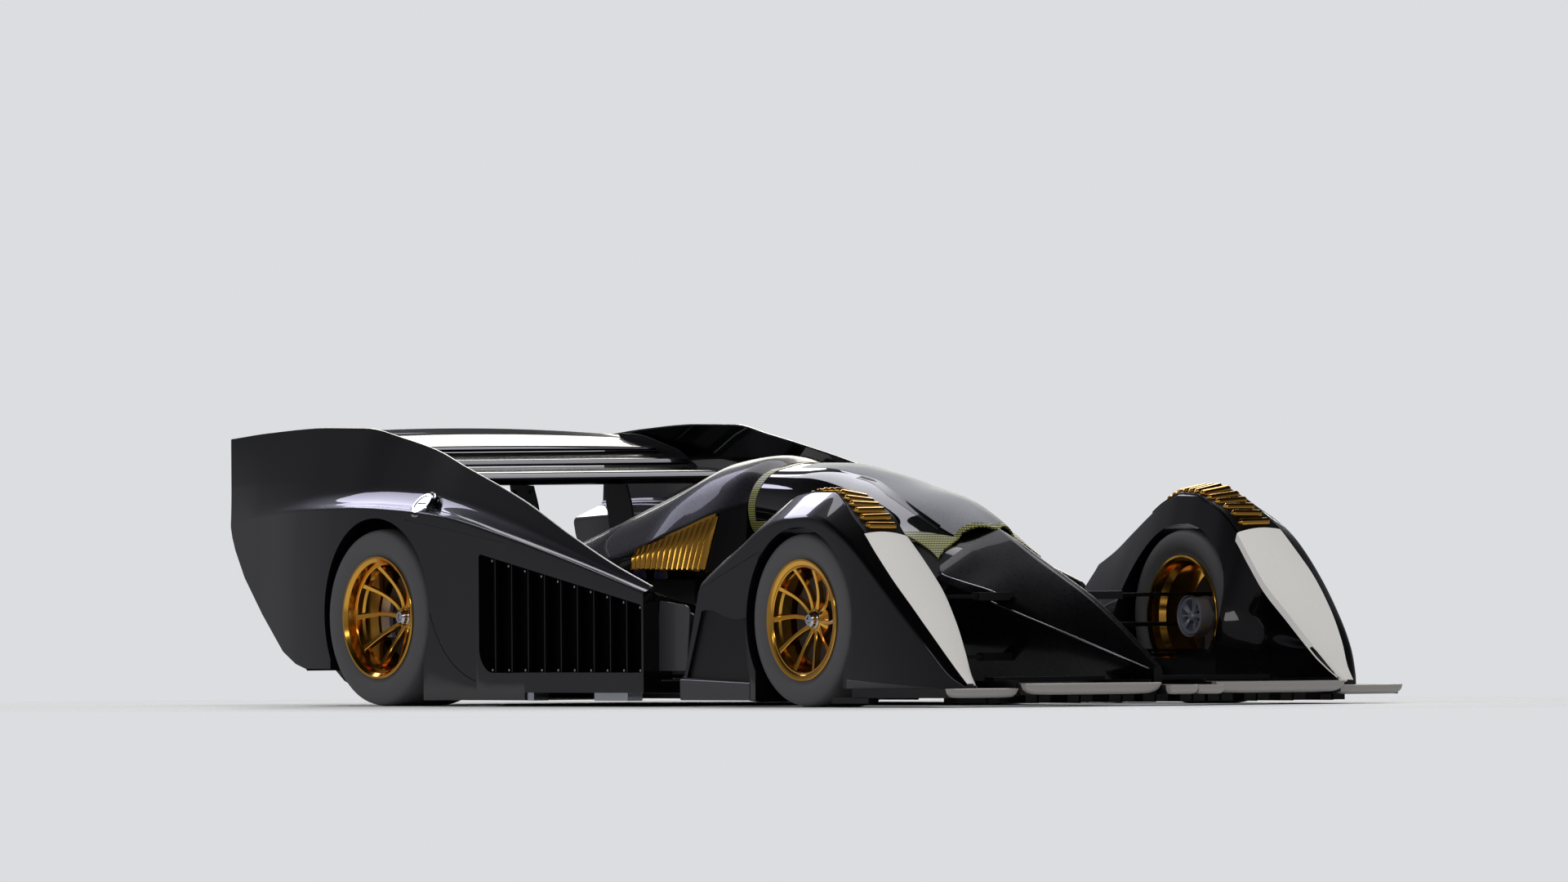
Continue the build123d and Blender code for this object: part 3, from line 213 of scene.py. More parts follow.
def glide(xs, ys, x):
    """Monotone cubic through a table's points: smooth, and never past a value."""
    xs, ys = np.asarray(xs, float), np.asarray(ys, float)
    h = np.diff(xs)
    d = np.diff(ys) / h
    m = np.zeros(len(xs))
    for i in range(1, len(xs) - 1):
        if d[i - 1] * d[i] > 0:
            a, b = 2 * h[i] + h[i - 1], h[i] + 2 * h[i - 1]
            m[i] = (a + b) / (a / d[i - 1] + b / d[i])
    m[0], m[-1] = d[0], d[-1]
    k = int(np.clip(np.searchsorted(xs, x) - 1, 0, len(h) - 1))
    t = (x - xs[k]) / h[k]
    return ((1 + 2 * t) * (1 - t) ** 2 * ys[k] + t * (1 - t) ** 2 * h[k] * m[k]
            + t * t * (3 - 2 * t) * ys[k + 1] + t * t * (t - 1) * h[k] * m[k + 1])


def glide_row(table, x):
    """Every column of a table at x."""
    xs = [row[0] for row in table]
    return [glide(xs, [row[c] for row in table], x) for c in range(1, len(table[0]))]


def stations(table, step):
    """Evenly spaced places from a table's first to last, about step apart."""
    low, high = table[0][0], table[-1][0]
    count = max(2, round((high - low) / step))
    return [low + (high - low) * i / count for i in range(count + 1)]


def rounded(corners, arc=5):
    """Closed outline with each corner (a, b, radius) turned into an arc of arc + 1 points."""
    out = []
    n = len(corners)
    for i, (a, b, radius) in enumerate(corners):
        here = Vector((a, b))
        before = Vector(corners[i - 1][:2]) - here
        after = Vector(corners[(i + 1) % n][:2]) - here
        reach = min(radius, before.length * 0.46, after.length * 0.46)
        start = here + before.normalized() * reach
        end = here + after.normalized() * reach
        for k in range(arc + 1):
            t = k / arc
            out.append(tuple(start * (1 - t) ** 2 + here * 2 * t * (1 - t) + end * t * t))
    return out


def link(name, mesh):
    """New object at the origin holding a mesh."""
    piece = bpy.data.objects.new(name, mesh)
    bpy.context.collection.objects.link(piece)
    return piece


MERGE, SHARP = 0.00002, math.radians(28)


def shade(mesh):
    """Smooth shading, with sharp edges where faces meet at more than SHARP."""
    mesh.polygons.foreach_set("use_smooth", [True] * len(mesh.polygons))
    mesh.set_sharp_from_angle(angle=SHARP)


def tidy(mesh):
    """Merges doubles, points faces outwards and shades."""
    bm = bmesh.new()
    bm.from_mesh(mesh)
    bmesh.ops.remove_doubles(bm, verts=bm.verts, dist=MERGE)
    bmesh.ops.dissolve_degenerate(bm, dist=MERGE, edges=bm.edges)
    bmesh.ops.recalc_face_normals(bm, faces=bm.faces)
    bm.to_mesh(mesh)
    bm.free()
    shade(mesh)
    mesh.update()
    return mesh


def skin(name, sections):
    """Closed mesh through outlines of equal length, in millimetres, with a cap at each end."""
    n = len(sections[0])
    verts = [Vector(p) * MM for section in sections for p in section]
    faces = []
    for i in range(len(sections) - 1):
        for j in range(n):
            a, b = i * n + j, i * n + (j + 1) % n
            faces.append((a, b, b + n, a + n))
    faces.append(tuple(range(n))[::-1])
    faces.append(tuple(range((len(sections) - 1) * n, len(sections) * n)))
    mesh = bpy.data.meshes.new(name)
    mesh.from_pydata([tuple(v) for v in verts], [], faces)
    return link(name, tidy(mesh))


def settle(piece):
    """Applies a piece's modifiers into a plain mesh."""
    graph = bpy.context.evaluated_depsgraph_get()
    mesh = bpy.data.meshes.new_from_object(piece.evaluated_get(graph))
    piece.modifiers.clear()
    old = piece.data
    piece.data = mesh
    bpy.data.meshes.remove(old)
    tidy(mesh)


def drop(*things):
    """Removes helper objects and their meshes."""
    for thing in things:
        mesh = thing.data
        bpy.data.objects.remove(thing)
        bpy.data.meshes.remove(mesh)


def cut(piece, *tools, operation="DIFFERENCE"):
    """Takes solids out of a piece and throws the tools away."""
    for tool in tools:
        modifier = piece.modifiers.new("cut", "BOOLEAN")
        modifier.operation = operation
        modifier.object = tool
        modifier.solver = "EXACT"
    settle(piece)
    drop(*tools)
    return piece


def drum(name, x, y0, y1, z, radius, segments):
    """Cylinder across the car, millimetres."""
    turns = [2 * math.pi * k / segments for k in range(segments)]
    return prism(name, [(x + radius * math.cos(a), z + radius * math.sin(a)) for a in turns], y0, y1)


def prism(name, outline, y0, y1):
    """Side-view outline of (x, z) points given a width across the car."""
    return skin(name, [[(x, y, z) for x, z in outline] for y in (y0, y1)])


def block(name, x0, x1, y0, y1, z0, z1):
    """Box from its limits."""
    return prism(name, [(x0, z0), (x1, z0), (x1, z1), (x0, z1)], y0, y1)


def finish_piece(piece, material, node=None, body="root"):
    """Gives a piece its material and its body, and hides the node it stands for."""
    piece.data.materials.clear()
    piece.data.materials.append(material)
    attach(piece, body)
    if node:
        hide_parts(node)


def finish_pair(piece, material, node=None, body="root"):
    """Finishes a left-hand piece and its mirror image on the right."""
    mesh = piece.data.copy()
    mesh.transform(Matrix.Diagonal((1, -1, 1, 1)))
    mesh.flip_normals()
    other = link(piece.name.replace("_left", "_right"), mesh)
    finish_piece(piece, material, node, body)
    node = node and node.replace("_left", "_right")
    finish_piece(other, material, node, body.replace("_left", "_right"))


XF, XR = 1515.0, -1485.0                 # the axles
FRONT_R, REAR_R = 350.0, 355.0
# x, shoulder z, crest outer y, z, crest inner y, z, flank y
POD = [
    (655, 400, 1055, 432, 845, 492, 1093), (931, 548, 1047, 592, 838, 603, 1093),
    (1100, 640, 1030, 686, 822, 687, 1093), (1215, 700, 996, 777, 812, 745, 1093),
    (1340, 742, 958, 852, 806, 805, 1093), (1457, 758, 949, 864, 804, 838, 1093),
    (1560, 762, 951, 864, 803, 836, 1093), (1658, 752, 972, 826, 802, 808, 1093),
    (1760, 716, 1000, 764, 801, 768, 1093), (1858, 664, 1010, 700, 808, 690, 1091),
    (1950, 598, 1018, 622, 800, 606, 1087), (2061, 503, 1022, 528, 794, 500, 1079),
    (2218, 357, 1006, 382, 822, 352, 1056), (2343, 234, 978, 247, 860, 222, 1024),
    (2430, 130, 948, 142, 892, 132, 985), (2482, 84, 938, 92, 908, 93, 950),
]
POD_WALL_Y, POD_SILL = 676.0, 27.0
FENCE_TOP = 219.0                        # the wheel opening's lower edge on the pod's inner side
PINCH_FROM, PINCH_LENGTH = 1890, 190     # where the inner wall swings out to meet the crest
ARCH_RADIUS, ARCH_SEGMENTS = 372, 160
POD_TIP = POD[-1][0]
FLANK_Y = POD[0][6]
# Outline of the flank's recess for a dark panel: painted reflection of the dark band the flank mirrors there.
DARK_REFLECTION_POCKET = [(722, 118), (1168, 100), (1150, 180), (1140, 280), (1140, 360), (1090, 352), (1030, 356),
          (975, 368), (920, 384), (870, 390), (829, 385)]
POCKET_DEPTH = 14


def pod_corners(x):
    """The pod's cross-section at x: corners of (y, z, radius)."""
    z_shoulder, y_out, z_out, y_in, z_in, y_side = glide_row(POD, x)
    inner = POD_WALL_Y
    if x > PINCH_FROM:
        inner += (y_in - 13 - POD_WALL_Y) * min(1, (x - PINCH_FROM) / PINCH_LENGTH)
    inner = min(inner, y_in - 14)
    fence = min(FENCE_TOP + 8, z_in - 8)
    return [(y_side, POD_SILL, 2), (y_side, z_shoulder, 22), (y_out, z_out, 9), (y_in, z_in, 12),
            (inner + 18, fence + (z_in - fence) * 0.3, 60), (inner, fence, 30), (inner, POD_SILL, 2)]


def ribbon(name, points, y0, y1, width):
    """Narrow solid along a polyline of (x, z), from y0 to y1, for cutting a seam."""
    points = [Vector(p) for p in points]
    rows = []
    for i, p in enumerate(points):
        along = (points[min(i + 1, len(points) - 1)] - points[max(i - 1, 0)]).normalized()
        across = Vector((-along.y, along.x)) * width / 2
        a, b = p + across, p - across
        rows.append([(a.x, y0, a.y), (a.x, y1, a.y), (b.x, y1, b.y), (b.x, y0, b.y)])
    return skin(name, rows)


pod = skin("pod_left", [[(x, y, z) for y, z in rounded(pod_corners(x))] for x in stations(POD, 22)])
opening = drum("opening", XF, 500, 1300, FRONT_R, ARCH_RADIUS, ARCH_SEGMENTS)
cut(opening, block("above", 900, 2100, 400, 1400, FENCE_TOP, 1000), operation="INTERSECT")
tools = [
    drum("arch", XF, POD_WALL_Y + 12, 1300, FRONT_R, ARCH_RADIUS, ARCH_SEGMENTS), opening,
    block("tunnel", XF - 310, XF + 310, POD_WALL_Y + 12, 1300, 0, 200),
    prism("raked_end", [(400, -10), (672, -10), (675, 27), (828, 530), (880, 1000), (400, 1000)], 400, 1300),
    block("over_splitter", XF + 240, 2700, 500, 1300, 0, 75.4),
    block("over_step", XF + 560, 2700, 500, 783.5, 0, 105.4),
    prism("side_pocket", DARK_REFLECTION_POCKET, FLANK_Y - POCKET_DEPTH, FLANK_Y + 40),
]
cut(pod, *tools)
SEAM = [(800, 470), (853, 486), (1238, 624), (1249, 618), (1232, 596), (1215, 560)]
SEAM_WIDTH = 3.5
cut(pod, block("arm_slot", XF - 96, XF + 96, 600, POD_WALL_Y + 20, 184, 208),
    ribbon("seam", SEAM, 1088, 1100, SEAM_WIDTH))
finish_pair(pod, lacquer, "front_fender_left")


# ------------------------------------------------------------------ pod blades
# A pale strip is bonded into the diving edge of each pod, from the louvres to the tip. It is a thin
# carbon moulding, sprayed in pearl paint.

# Pearl paint rubbed to satin: a warm white with a soft, wide highlight.
pale_coat, tree, shader = new_material("satin_pearl_paint", "#F2EFE9", 0.3, Coat_Weight=0.6,
                                       Coat_Roughness=0.12)
grain(tree, shader, 6.0, 0.004, 0.26, 0.34)
BLADE_START = 1864.0


STRIP_STEP, STRIP_ACROSS = 14, 8


def strip_on_pod(name, x0, x1, lift, depth, inset=0.0, crown=0.035, wrap=0.0):
    """Closed strip that follows the pod's crest between its two edges, and wraps down the inner one."""
    rows = []
    count = round((x1 - x0) / STRIP_STEP)
    n = STRIP_ACROSS
    for i in range(count + 1):
        x = x0 + (x1 - x0) * i / count
        _, y_out, z_out, y_in, z_in, _ = glide_row(POD, x)
        share = inset / max(1.0, y_out - y_in)
        a = (y_out + (y_in - y_out) * share, z_out + (z_in - z_out) * share)
        b = (y_in + (y_out - y_in) * share, z_in + (z_out - z_in) * share)
        bow = crown * (y_out - y_in)
        top = [(a[0] + (b[0] - a[0]) * k / n, a[1] + (b[1] - a[1]) * k / n + lift
                + bow * 4 * (k / n) * (1 - k / n)) for k in range(n + 1)]
        if wrap:
            wrap = min(wrap, 0.3 * (y_out - y_in))
            top[-1:] = [(b[0] + 1, b[1] + lift + 1), (b[0] - 8, b[1] - 4), (b[0] - 16, b[1] - max(wrap, 16))]
        low = [(y + (depth if wrap and k < 2 else 0), z - depth) for k, (y, z) in enumerate(reversed(top))]
        rows.append([(x, y, z) for y, z in top + low])
    return skin(name, rows)


blade = strip_on_pod("blade_left", BLADE_START, POD_TIP - 2, 0.6, 6, crown=0.06, wrap=34)
finish_pair(blade, pale_coat, "fender_blade_left")


# ------------------------------------------------------------------ pod louvres
# Gold-plated cross bars stand on a satin carbon strip over each wheel and let air out of the arch.
# Each bar is pressed from sheet, rounded at both ends, and gets longer towards the front.

# Polished gold plate: deep yellow reflections, slightly broken up.
gold, tree, shader = new_material("gold_plate_polished", "#EDB24C", 0.12, 1.0)
grain(tree, shader, 3.0, 0.004, 0.09, 0.18)


def repeat(name, part, spots, material, scale=1.0):
    """Copies of a part on spots (place mm, turn in radians, size), by Geometry Nodes, as one mesh."""
    carrier_mesh = bpy.data.meshes.new(name + "_spots")
    carrier_mesh.from_pydata([tuple(Vector(p) * MM) for p, _, _ in spots], [], [])
    for key, index in (("turn", 1), ("size", 2)):
        attribute = carrier_mesh.attributes.new(key, "FLOAT_VECTOR", "POINT")
        attribute.data.foreach_set("vector", [v for spot in spots for v in spot[index]])
    carrier = link(name, carrier_mesh)
    tree = bpy.data.node_groups.new(name + "_tree", "GeometryNodeTree")
    tree.interface.new_socket("Spots", in_out="INPUT", socket_type="NodeSocketGeometry")
    part_socket = tree.interface.new_socket("Part", in_out="INPUT", socket_type="NodeSocketObject")
    scale_socket = tree.interface.new_socket("Part Scale", in_out="INPUT", socket_type="NodeSocketFloat")
    tree.interface.new_socket("Pieces", in_out="OUTPUT", socket_type="NodeSocketGeometry")
    start = add(tree, "NodeGroupInput")
    info = add(tree, "GeometryNodeObjectInfo", i0=start.outputs["Part"])
    turn = add(tree, "GeometryNodeInputNamedAttribute", {"data_type": "FLOAT_VECTOR"}, Name="turn")
    size = add(tree, "GeometryNodeInputNamedAttribute", {"data_type": "FLOAT_VECTOR"}, Name="size")
    grown = add(tree, "ShaderNodeVectorMath", {"operation": "SCALE"}, i0=size.outputs[0],
                Scale=start.outputs["Part Scale"])
    placed = add(tree, "GeometryNodeInstanceOnPoints", Points=start.outputs["Spots"],
                 Instance=info.outputs["Geometry"], Rotation=turn.outputs[0], Scale=grown.outputs[0])
    solid = add(tree, "GeometryNodeRealizeInstances", i0=placed.outputs[0])
    dressed = add(tree, "GeometryNodeSetMaterial", Geometry=solid.outputs[0], Material=material)
    add(tree, "NodeGroupOutput", i0=dressed.outputs[0])
    modifier = carrier.modifiers.new(name, "NODES")
    modifier.node_group = tree
    modifier[part_socket.identifier] = part
    modifier[scale_socket.identifier] = scale
    settle(carrier)
    return carrier


def pill_bar(name, half_length, half_width, height):
    """Bar along Y with rounded ends and a ridged top."""
    rows = []
    for k in range(13):
        t = -1 + 2 * k / 12
        y = t * half_length
        edge = max(0.0, abs(y) - (half_length - half_width))
        width = math.sqrt(max(0.0, half_width**2 - edge**2)) + 0.4
        rise = height * min(1.0, 0.35 + 0.65 * width / half_width)
        section = [(-width, 0), (-width, rise * 0.45), (-width * 0.35, rise), (width * 0.45, rise),
                   (width, rise * 0.45), (width, 0)]
        rows.append([(x, y, z) for x, z in rounded([(a, b, 3.5) for a, b in section], 2)])
    return skin(name, rows)


LOUVRE_BACK, LOUVRE_COUNT = 1272.0, 13
plate = strip_on_pod("louvre_plate_left", LOUVRE_BACK - 22, BLADE_START - 2, 3.0, 5, inset=2)
bar = pill_bar("bar", 74, 18, 18)
spots = []
for k in range(LOUVRE_COUNT):
    share = k / (LOUVRE_COUNT - 1)
    x = LOUVRE_BACK + 6 + (BLADE_START - LOUVRE_BACK - 42) * share
    _, y_out, z_out, y_in, z_in, _ = glide_row(POD, x)
    _, _, z_a, _, z_b, _ = glide_row(POD, x + 12)
    slope = math.atan2((z_a + z_b - z_out - z_in) / 2, 12)
    lean = math.atan2(z_out - z_in, y_out - y_in)
    wide = 0.60 + 0.44 * min(1.0, share * 1.5)
    spots.append(((x, (y_out + y_in) / 2, (z_out + z_in) / 2 + 4.5), (lean, -slope, 0),
                  (1, wide, 0.75 + 0.3 * share)))
bars = repeat("louvre_bars_left", bar, spots, gold)
drop(bar)


def join(name, *things):
    """Joins meshes into one new piece and removes the originals."""
    bm = bmesh.new()
    for thing in things:
        bm.from_mesh(thing.data)
    mesh = bpy.data.meshes.new(name)
    bm.to_mesh(mesh)
    bm.free()
    drop(*things)
    shade(mesh)
    return link(name, mesh)


# Moulded carbon left satin: near black, with a dull sheen.
satin, tree, shader = new_material("satin_carbon_moulded", "#0C0C0D", 0.42, Specular_IOR_Level=0.35)
grain(tree, shader, 1.6, 0.01, 0.36, 0.5)
finish_pair(plate, satin)
finish_pair(join("pod_louvres_left", bars), gold, "fender_louvres_left")


# ------------------------------------------------------------------ side bodies
# The sidepod and the rear wheel's cover are one carbon moulding: flat flank, crisp shoulder,
# a hollow channel along the fin's foot, and a deck that falls inwards over the wheel.

# x, flank y, shoulder z, fin root y, z, fin top y, z, deck's inner y, z
SIDE = [
    (-2750, 920, 724, 916, 800, 916, 1067, 748, 748), (-2485, 972, 755, 958, 812, 908, 1092, 715, 762),
    (-2068, 1050, 786, 1000, 812, 900, 1113, 696, 778), (-1808, 1078, 793, 1005, 812, 900, 1112, 690, 780),
    (-1585, 1088, 797, 1006, 810, 895, 1077, 690, 778), (-1339, 1090, 789, 1008, 802, 905, 1031, 690, 755),
    (-1038, 1090, 765, 1012, 780, 953, 957, 690, 690), (-580, 1090, 683, 1030, 700, 990, 825, 700, 560),
    (-190, 1090, 600, 1046, 610, 1020, 681, 700, 470), (128, 1090, 528, 1055, 530, 1040, 570, 720, 430),
    (410, 1090, 461, 1064, 463, 1050, 484, 760, 400),
]
SIDE_SILL = 25.0
TAIL_RAKE = [(-2760, 724), (-2751, 716), (-2736, 672), (-2706, 620), (-2617, 512), (-2444, 365), (-2241, 218),
             (-2120, 168), (-2025, 147)]
INLET = [(-752, 195, 60), (-752, 612, 18), (397, 409, 12), (397, 135, 10), (-692, 135, 60)]
INLET_BACK = 1018


def curve(a, corner, b, count):
    """Points of the parabola from a to b drawn towards a corner."""
    a, corner, b = Vector(a), Vector(corner), Vector(b)
    return [tuple(a * (1 - t) ** 2 + corner * 2 * t * (1 - t) + b * t * t)
            for t in (k / count for k in range(count + 1))]


def side_corners(x):
    """The side body's cross-section at x: corners of (y, z, radius)."""
    y_side, z_shoulder, y_root, z_root, _, _, y_in, z_deck = glide_row(SIDE, x)
    return [(y_side, SIDE_SILL, 3), (y_side, z_shoulder, 10), (y_root, z_root, 8),
            (y_root - 30, z_root - 4, 6), (y_root - 40, z_root - 14, 6), (y_in, z_deck - 14, 16),
            (y_in, SIDE_SILL, 3)]


side = skin("side_shell_left", [[(x, y, z) for y, z in rounded(side_corners(x))] for x in stations(SIDE, 30)])
behind = TAIL_RAKE + [(-1915, 20), (-1915, -20), (-2900, -20), (-2900, 724)]
step_up = [(-1915, -20), (-2025, 149), (-1685, 149), (-1685, -20)]
cut(side,
    drum("arch", XR, 600, 1300, REAR_R + 14, ARCH_RADIUS + 12, ARCH_SEGMENTS),
    block("tunnel", XR - 339, XR + 339, 600, 1300, -10, 200),
    prism("rake", behind, 500, 1300), prism("tail_step", step_up, 500, 1300),
    prism("inlet", rounded(INLET), INLET_BACK, 1300), block("sill_step", -432, 515, 500, 1300, 0, 56),
    ribbon("seam_low", curve((-1135, 520), (-1090, 180), (-775, 100), 14), 1086, 1100, SEAM_WIDTH),
    ribbon("seam_high", curve((-1270, 748), (-900, 700), (-560, 655), 8), 1086, 1100, SEAM_WIDTH))
finish_pair(side, lacquer, "side_body_left")


# ------------------------------------------------------------------ tail fins
# A tall carbon fin grows out of each channel with a hollow foot and leans inwards to a thin
# top edge. It is bonded to the side body along its foot.
def fin_section(x):
    """The fin's cross-section at x, from the shoulder round its hollow foot and over its top edge."""
    y_side, z_shoulder, y_root, z_root, y_top, z_top, _, _ = glide_row(SIDE, x)
    root, top = Vector((y_root, z_root)), Vector((y_top, z_top))
    shoulder = Vector((y_side, z_shoulder))
    a = root + (shoulder - root).normalized() * min(62, (shoulder - root).length * 0.8)
    b = root + (top - root) * min(0.62, 84 / (top - root).length)
    lift = Vector((0, 0.5))
    outer = [Vector(p) + lift for p in curve(a, root, b, 10)]
    rim = [top + Vector(step) for step in ((0, -5), (-1.5, -1), (-6, 0), (-11, -1), (-13, -6))]
    foot = [Vector((y_root - 26, z_root + 4)), Vector((y_root - 32, z_root - 4)), a + Vector((0, -4))]
    return [(x, p.x, p.y) for p in outer + rim + foot]


fin = skin("fin_blade_left", [fin_section(x) for x in stations(SIDE, 30)])
finish_pair(fin, lacquer, "tail_fin_left")


# ------------------------------------------------------------------ side inlets
# Ten upright carbon vanes stand in each side inlet, angled to turn the air, pinned top and
# bottom by small steel studs.

# Turned stainless steel: pale grey, with small crisp glints.
steel, tree, shader = new_material("stainless_steel_turned", "#B9BBC0", 0.22, 1.0)
grain(tree, shader, 0.8, 0.004, 0.16, 0.3)

VANES, VANE_FIRST, VANE_RUN = 10, -668, 1045
VANE_FOOT = 137
STUD_RADIUS = 5
(back_x, back_z, _), (front_x, front_z, _) = INLET[1:3]
vanes, studs = [], []
for k in range(VANES):
    x = VANE_FIRST + k * (VANE_RUN / (VANES - 1))
    top = back_z + (front_z - back_z) * (x - back_x) / (front_x - back_x) - 6
    outline = [(x - 24, 1022), (x - 17, 1022), (x + 26, 1076), (x + 30, 1086), (x + 24, 1086), (x + 17, 1074)]
    vanes.append(skin("vane", [[(a, b, z) for a, b in outline] for z in (VANE_FOOT, top)]))
    for z in (VANE_FOOT + 9, top - 8):
        studs.append(((x + 14, 1089, z), (math.pi / 2, 0, 0), (1, 1, 1)))
back = prism("back", [(back_x + 2, VANE_FOOT), (back_x + 2, back_z - 4), (front_x - 2, front_z - 4),
                      (front_x - 2, VANE_FOOT)], INLET_BACK - 1, INLET_BACK + 4)
ring = [(STUD_RADIUS * math.cos(math.pi * k / 6), STUD_RADIUS * math.sin(math.pi * k / 6)) for k in range(12)]
head = skin("head", [[(a * s, b * s, z) for a, b in ring] for z, s in ((-3, 1), (1.5, 1), (3, 0.7))])
grille = join("side_vanes_left", back, *vanes)
stud_set = repeat("inlet_studs_left", head, studs, steel)
drop(head)
finish_pair(grille, satin, "side_grille_left")
finish_pair(stud_set, steel)


# ------------------------------------------------------------------ pod recesses and sills
# A dark satin carbon panel in a recess behind each front wheel is painted reflection: the dark band that the
# flank mirrors there. A strip sprayed in grey satin paint is bonded along each pod's foot to the splitter;
# behind the wheel it is painted reflection of the pale floor, ahead of it the pod's grey side board.

# Grey paint sprayed to satin: dark, soft, and a little paler than the lacquer. On the pod sill behind each
# front wheel it is painted reflection of the pale floor.
sill_coat, tree, shader = new_material("satin_grey_paint_sprayed", "#39393B", 0.38, Coat_Weight=0.3)
grain(tree, shader, 2.2, 0.006, 0.34, 0.44)
# The dark satin panel in the recess is painted reflection, not a part of the pod.
panel = prism("pocket_panel_left", DARK_REFLECTION_POCKET, FLANK_Y - POCKET_DEPTH, FLANK_Y - POCKET_DEPTH + 1.6)
finish_pair(panel, satin)
# The strip behind the wheel is painted reflection of the floor; the one ahead of it is the pod's own grey
# side board.
SILL_STRIPS = ((676, 1166, 112, 98), (1850, 2428, 112, 76))     # back x, front x, top z at each end
strips = []
for x0, x1, top0, top1 in SILL_STRIPS:
    rows = []
    for k in range(25):
        x = x0 + (x1 - x0) * k / 24
        y = glide_row(POD, x)[5]
        top = top0 + (top1 - top0) * k / 24
        foot = 30 if x < 1800 else 76.5
        if top > foot + 1:
            rows.append([(x, y - 6, foot), (x, y + 2, foot), (x, y + 2, top - 3), (x, y - 0.4, top),
                         (x, y - 6, top)])
    strips.append(skin("strip", rows))
finish_pair(join("pod_sill_left", *strips), sill_coat)


# ------------------------------------------------------------------ waist vanes and skid blocks
# Three upright carbon vanes are bonded to each sidepod's leading edge and turn the front
# wheel's wake outwards. Machined alloy skid blocks are screwed under the sill.
WAIST_BACK = 388
WAIST_VANES = ((1010, 604, 144, 404, 26), (948, 560, 130, 372, 20), (888, 520, 120, 350, 16))
SKIDS = ((-430, -378), (50, 286))
waist = []
for y, x1, z0, z1, lean in WAIST_VANES:  # y, front x, foot z, top z, lean
    outline = [(WAIST_BACK, z0, 4), (x1, z0, 24), (x1, z1, 40), (WAIST_BACK, z1 + 20, 4)]
    rows = [[(x + lean * (z - z0) / 260, y + dy, z) for x, z in rounded(outline)] for dy in (-3, 3)]
    waist.append(skin("vane", rows))
for x in (420, 500, 575):
    waist.append(block("bar", x, x + 12, 884, 1010, 60 + 0.1 * x, 66 + 0.1 * x))
finish_pair(join("waist_vanes_left", *waist), sill_coat)
skids = [prism("skid", rounded([(x0, 24, 5), (x1, 24, 5), (x1, 57, 2), (x0, 57, 2)]), 1010, 1082)
         for x0, x1 in SKIDS]
finish_pair(join("skid_blocks_left", *skids), steel)


# ------------------------------------------------------------------ filler caps
# A cap of turned and polished aluminium, with a slot across it for a coin or a tool, screws into a
# ring in the channel below each fin.

# Polished aluminium: nearly white and mirror bright.
polished, tree, shader = new_material("aluminium_polished", "#D5D6DA", 0.12, 1.0)
grain(tree, shader, 2.0, 0.003, 0.08, 0.18)


def lathe(name, profile, segments=96):
    """Turned solid about Z from (radius, height) points, millimetres; closes on the axis."""
    rows = []
    for k in range(segments):
        a = 2 * math.pi * k / segments
        rows.append([(r * math.cos(a), r * math.sin(a), h) for r, h in profile])
    n = len(profile)
    verts = [tuple(Vector(p) * MM) for row in rows for p in row]
    faces = []
    for i in range(segments):
        a, b = i * n, (i + 1) % segments * n
        faces += [(a + j, b + j, b + (j + 1) % n, a + (j + 1) % n) for j in range(n)]
    mesh = bpy.data.meshes.new(name)
    mesh.from_pydata(verts, [], faces)
    return link(name, tidy(mesh))


def place(piece, spot, turn, axis):
    """Turns a piece's mesh about an axis and moves it, so that the object stays at the origin."""
    piece.data.transform(Matrix.Translation(Vector(spot) * MM) @ Matrix.Rotation(turn, 4, axis))


cap = lathe("cap", [(0, -13), (50, -13), (54, -9), (54, 8), (50, 13), (40, 13), (38, 10), (0, 10)])
cut(cap, block("slot", -30, 30, -4, 4, 6, 30))
seat_ring = lathe("seat_ring", [(57, -10), (64, -10), (66, 4), (62, 7), (57, 5)])
cap = join("filler_cap_left", cap, seat_ring)
CAP_SPOT, CAP_LEAN = (-1203, 1046, 806), math.radians(-48)
place(cap, CAP_SPOT, CAP_LEAN, "X")
finish_pair(cap, polished, "filler_caps")


# ------------------------------------------------------------------ deck louvres
# Gold-plated bars, pressed from sheet like those on the front pods, vent each rear wheel through
# the deck beside it.
knob_bar = pill_bar("knob_bar", 74, 13, 20)
GILLS, GILL_FIRST, GILL_PITCH = 17, -2110, 49
spots = []
for k in range(GILLS):
    x = GILL_FIRST + k * GILL_PITCH
    corners = side_corners(x)
    outer, inner = Vector(corners[4][:2]), Vector(corners[5][:2])
    middle = inner.lerp(outer, 0.345)
    lean = math.atan2(outer.y - inner.y, outer.x - inner.x)
    spots.append(((x, middle.x, middle.y + 4), (lean, 0, 0), (1, 1, 1)))
finish_pair(repeat("deck_gills_left", knob_bar, spots, gold), gold, "deck_louvres_left")
drop(knob_bar)


# ------------------------------------------------------------------ engine cover
# A carbon spine runs from the ring behind the cockpit down to the tail. Its roof swells into an
# air intake and then falls away between hollow shoulders.

# A single coat of lacquer over carbon: as black as the pods, with weaker reflections.
thin_coat, tree, shader = new_material("lacquered_carbon_single_coat", "#060607", 0.3, Coat_Weight=0.3,
                                       Coat_Roughness=0.03, Specular_IOR_Level=0.12)
grain(tree, shader, 14.0, 0.01, 0.26, 0.34)
# x, roof z, shoulder y, z, foot y, z
COVER = [
    (-1700, 572, 285, 500, 305, 470), (-1246, 702, 380, 530, 412, 472), (-900, 806, 425, 565, 445, 500),
    (-570, 905, 440, 628, 452, 542), (-337, 984, 385, 705, 425, 536), (-160, 1000, 330, 771, 400, 532),
    (-15, 974, 288, 800, 300, 540),
]


def cover_half(x, shrink=0.0):
    """Corners of the cover's left half at x, from near the roof to the foot."""
    roof, y_up, z_up, y_low, z_low = glide_row(COVER, x)
    fall = roof - z_up
    return [(y_up * 0.34, roof - 0.06 * fall - shrink, 60), (y_up * 0.70, roof - 0.36 * fall - shrink, 90),
            (y_up - shrink, z_up - shrink * 0.5, 26), (y_low - shrink, z_low, 2)]


def both_sides(half, top=None):
    """Closed section from a half section of (y, z, radius), top first."""
    left = [(-y, z, r) for y, z, r in half]
    return left[::-1] + ([top] if top else []) + half


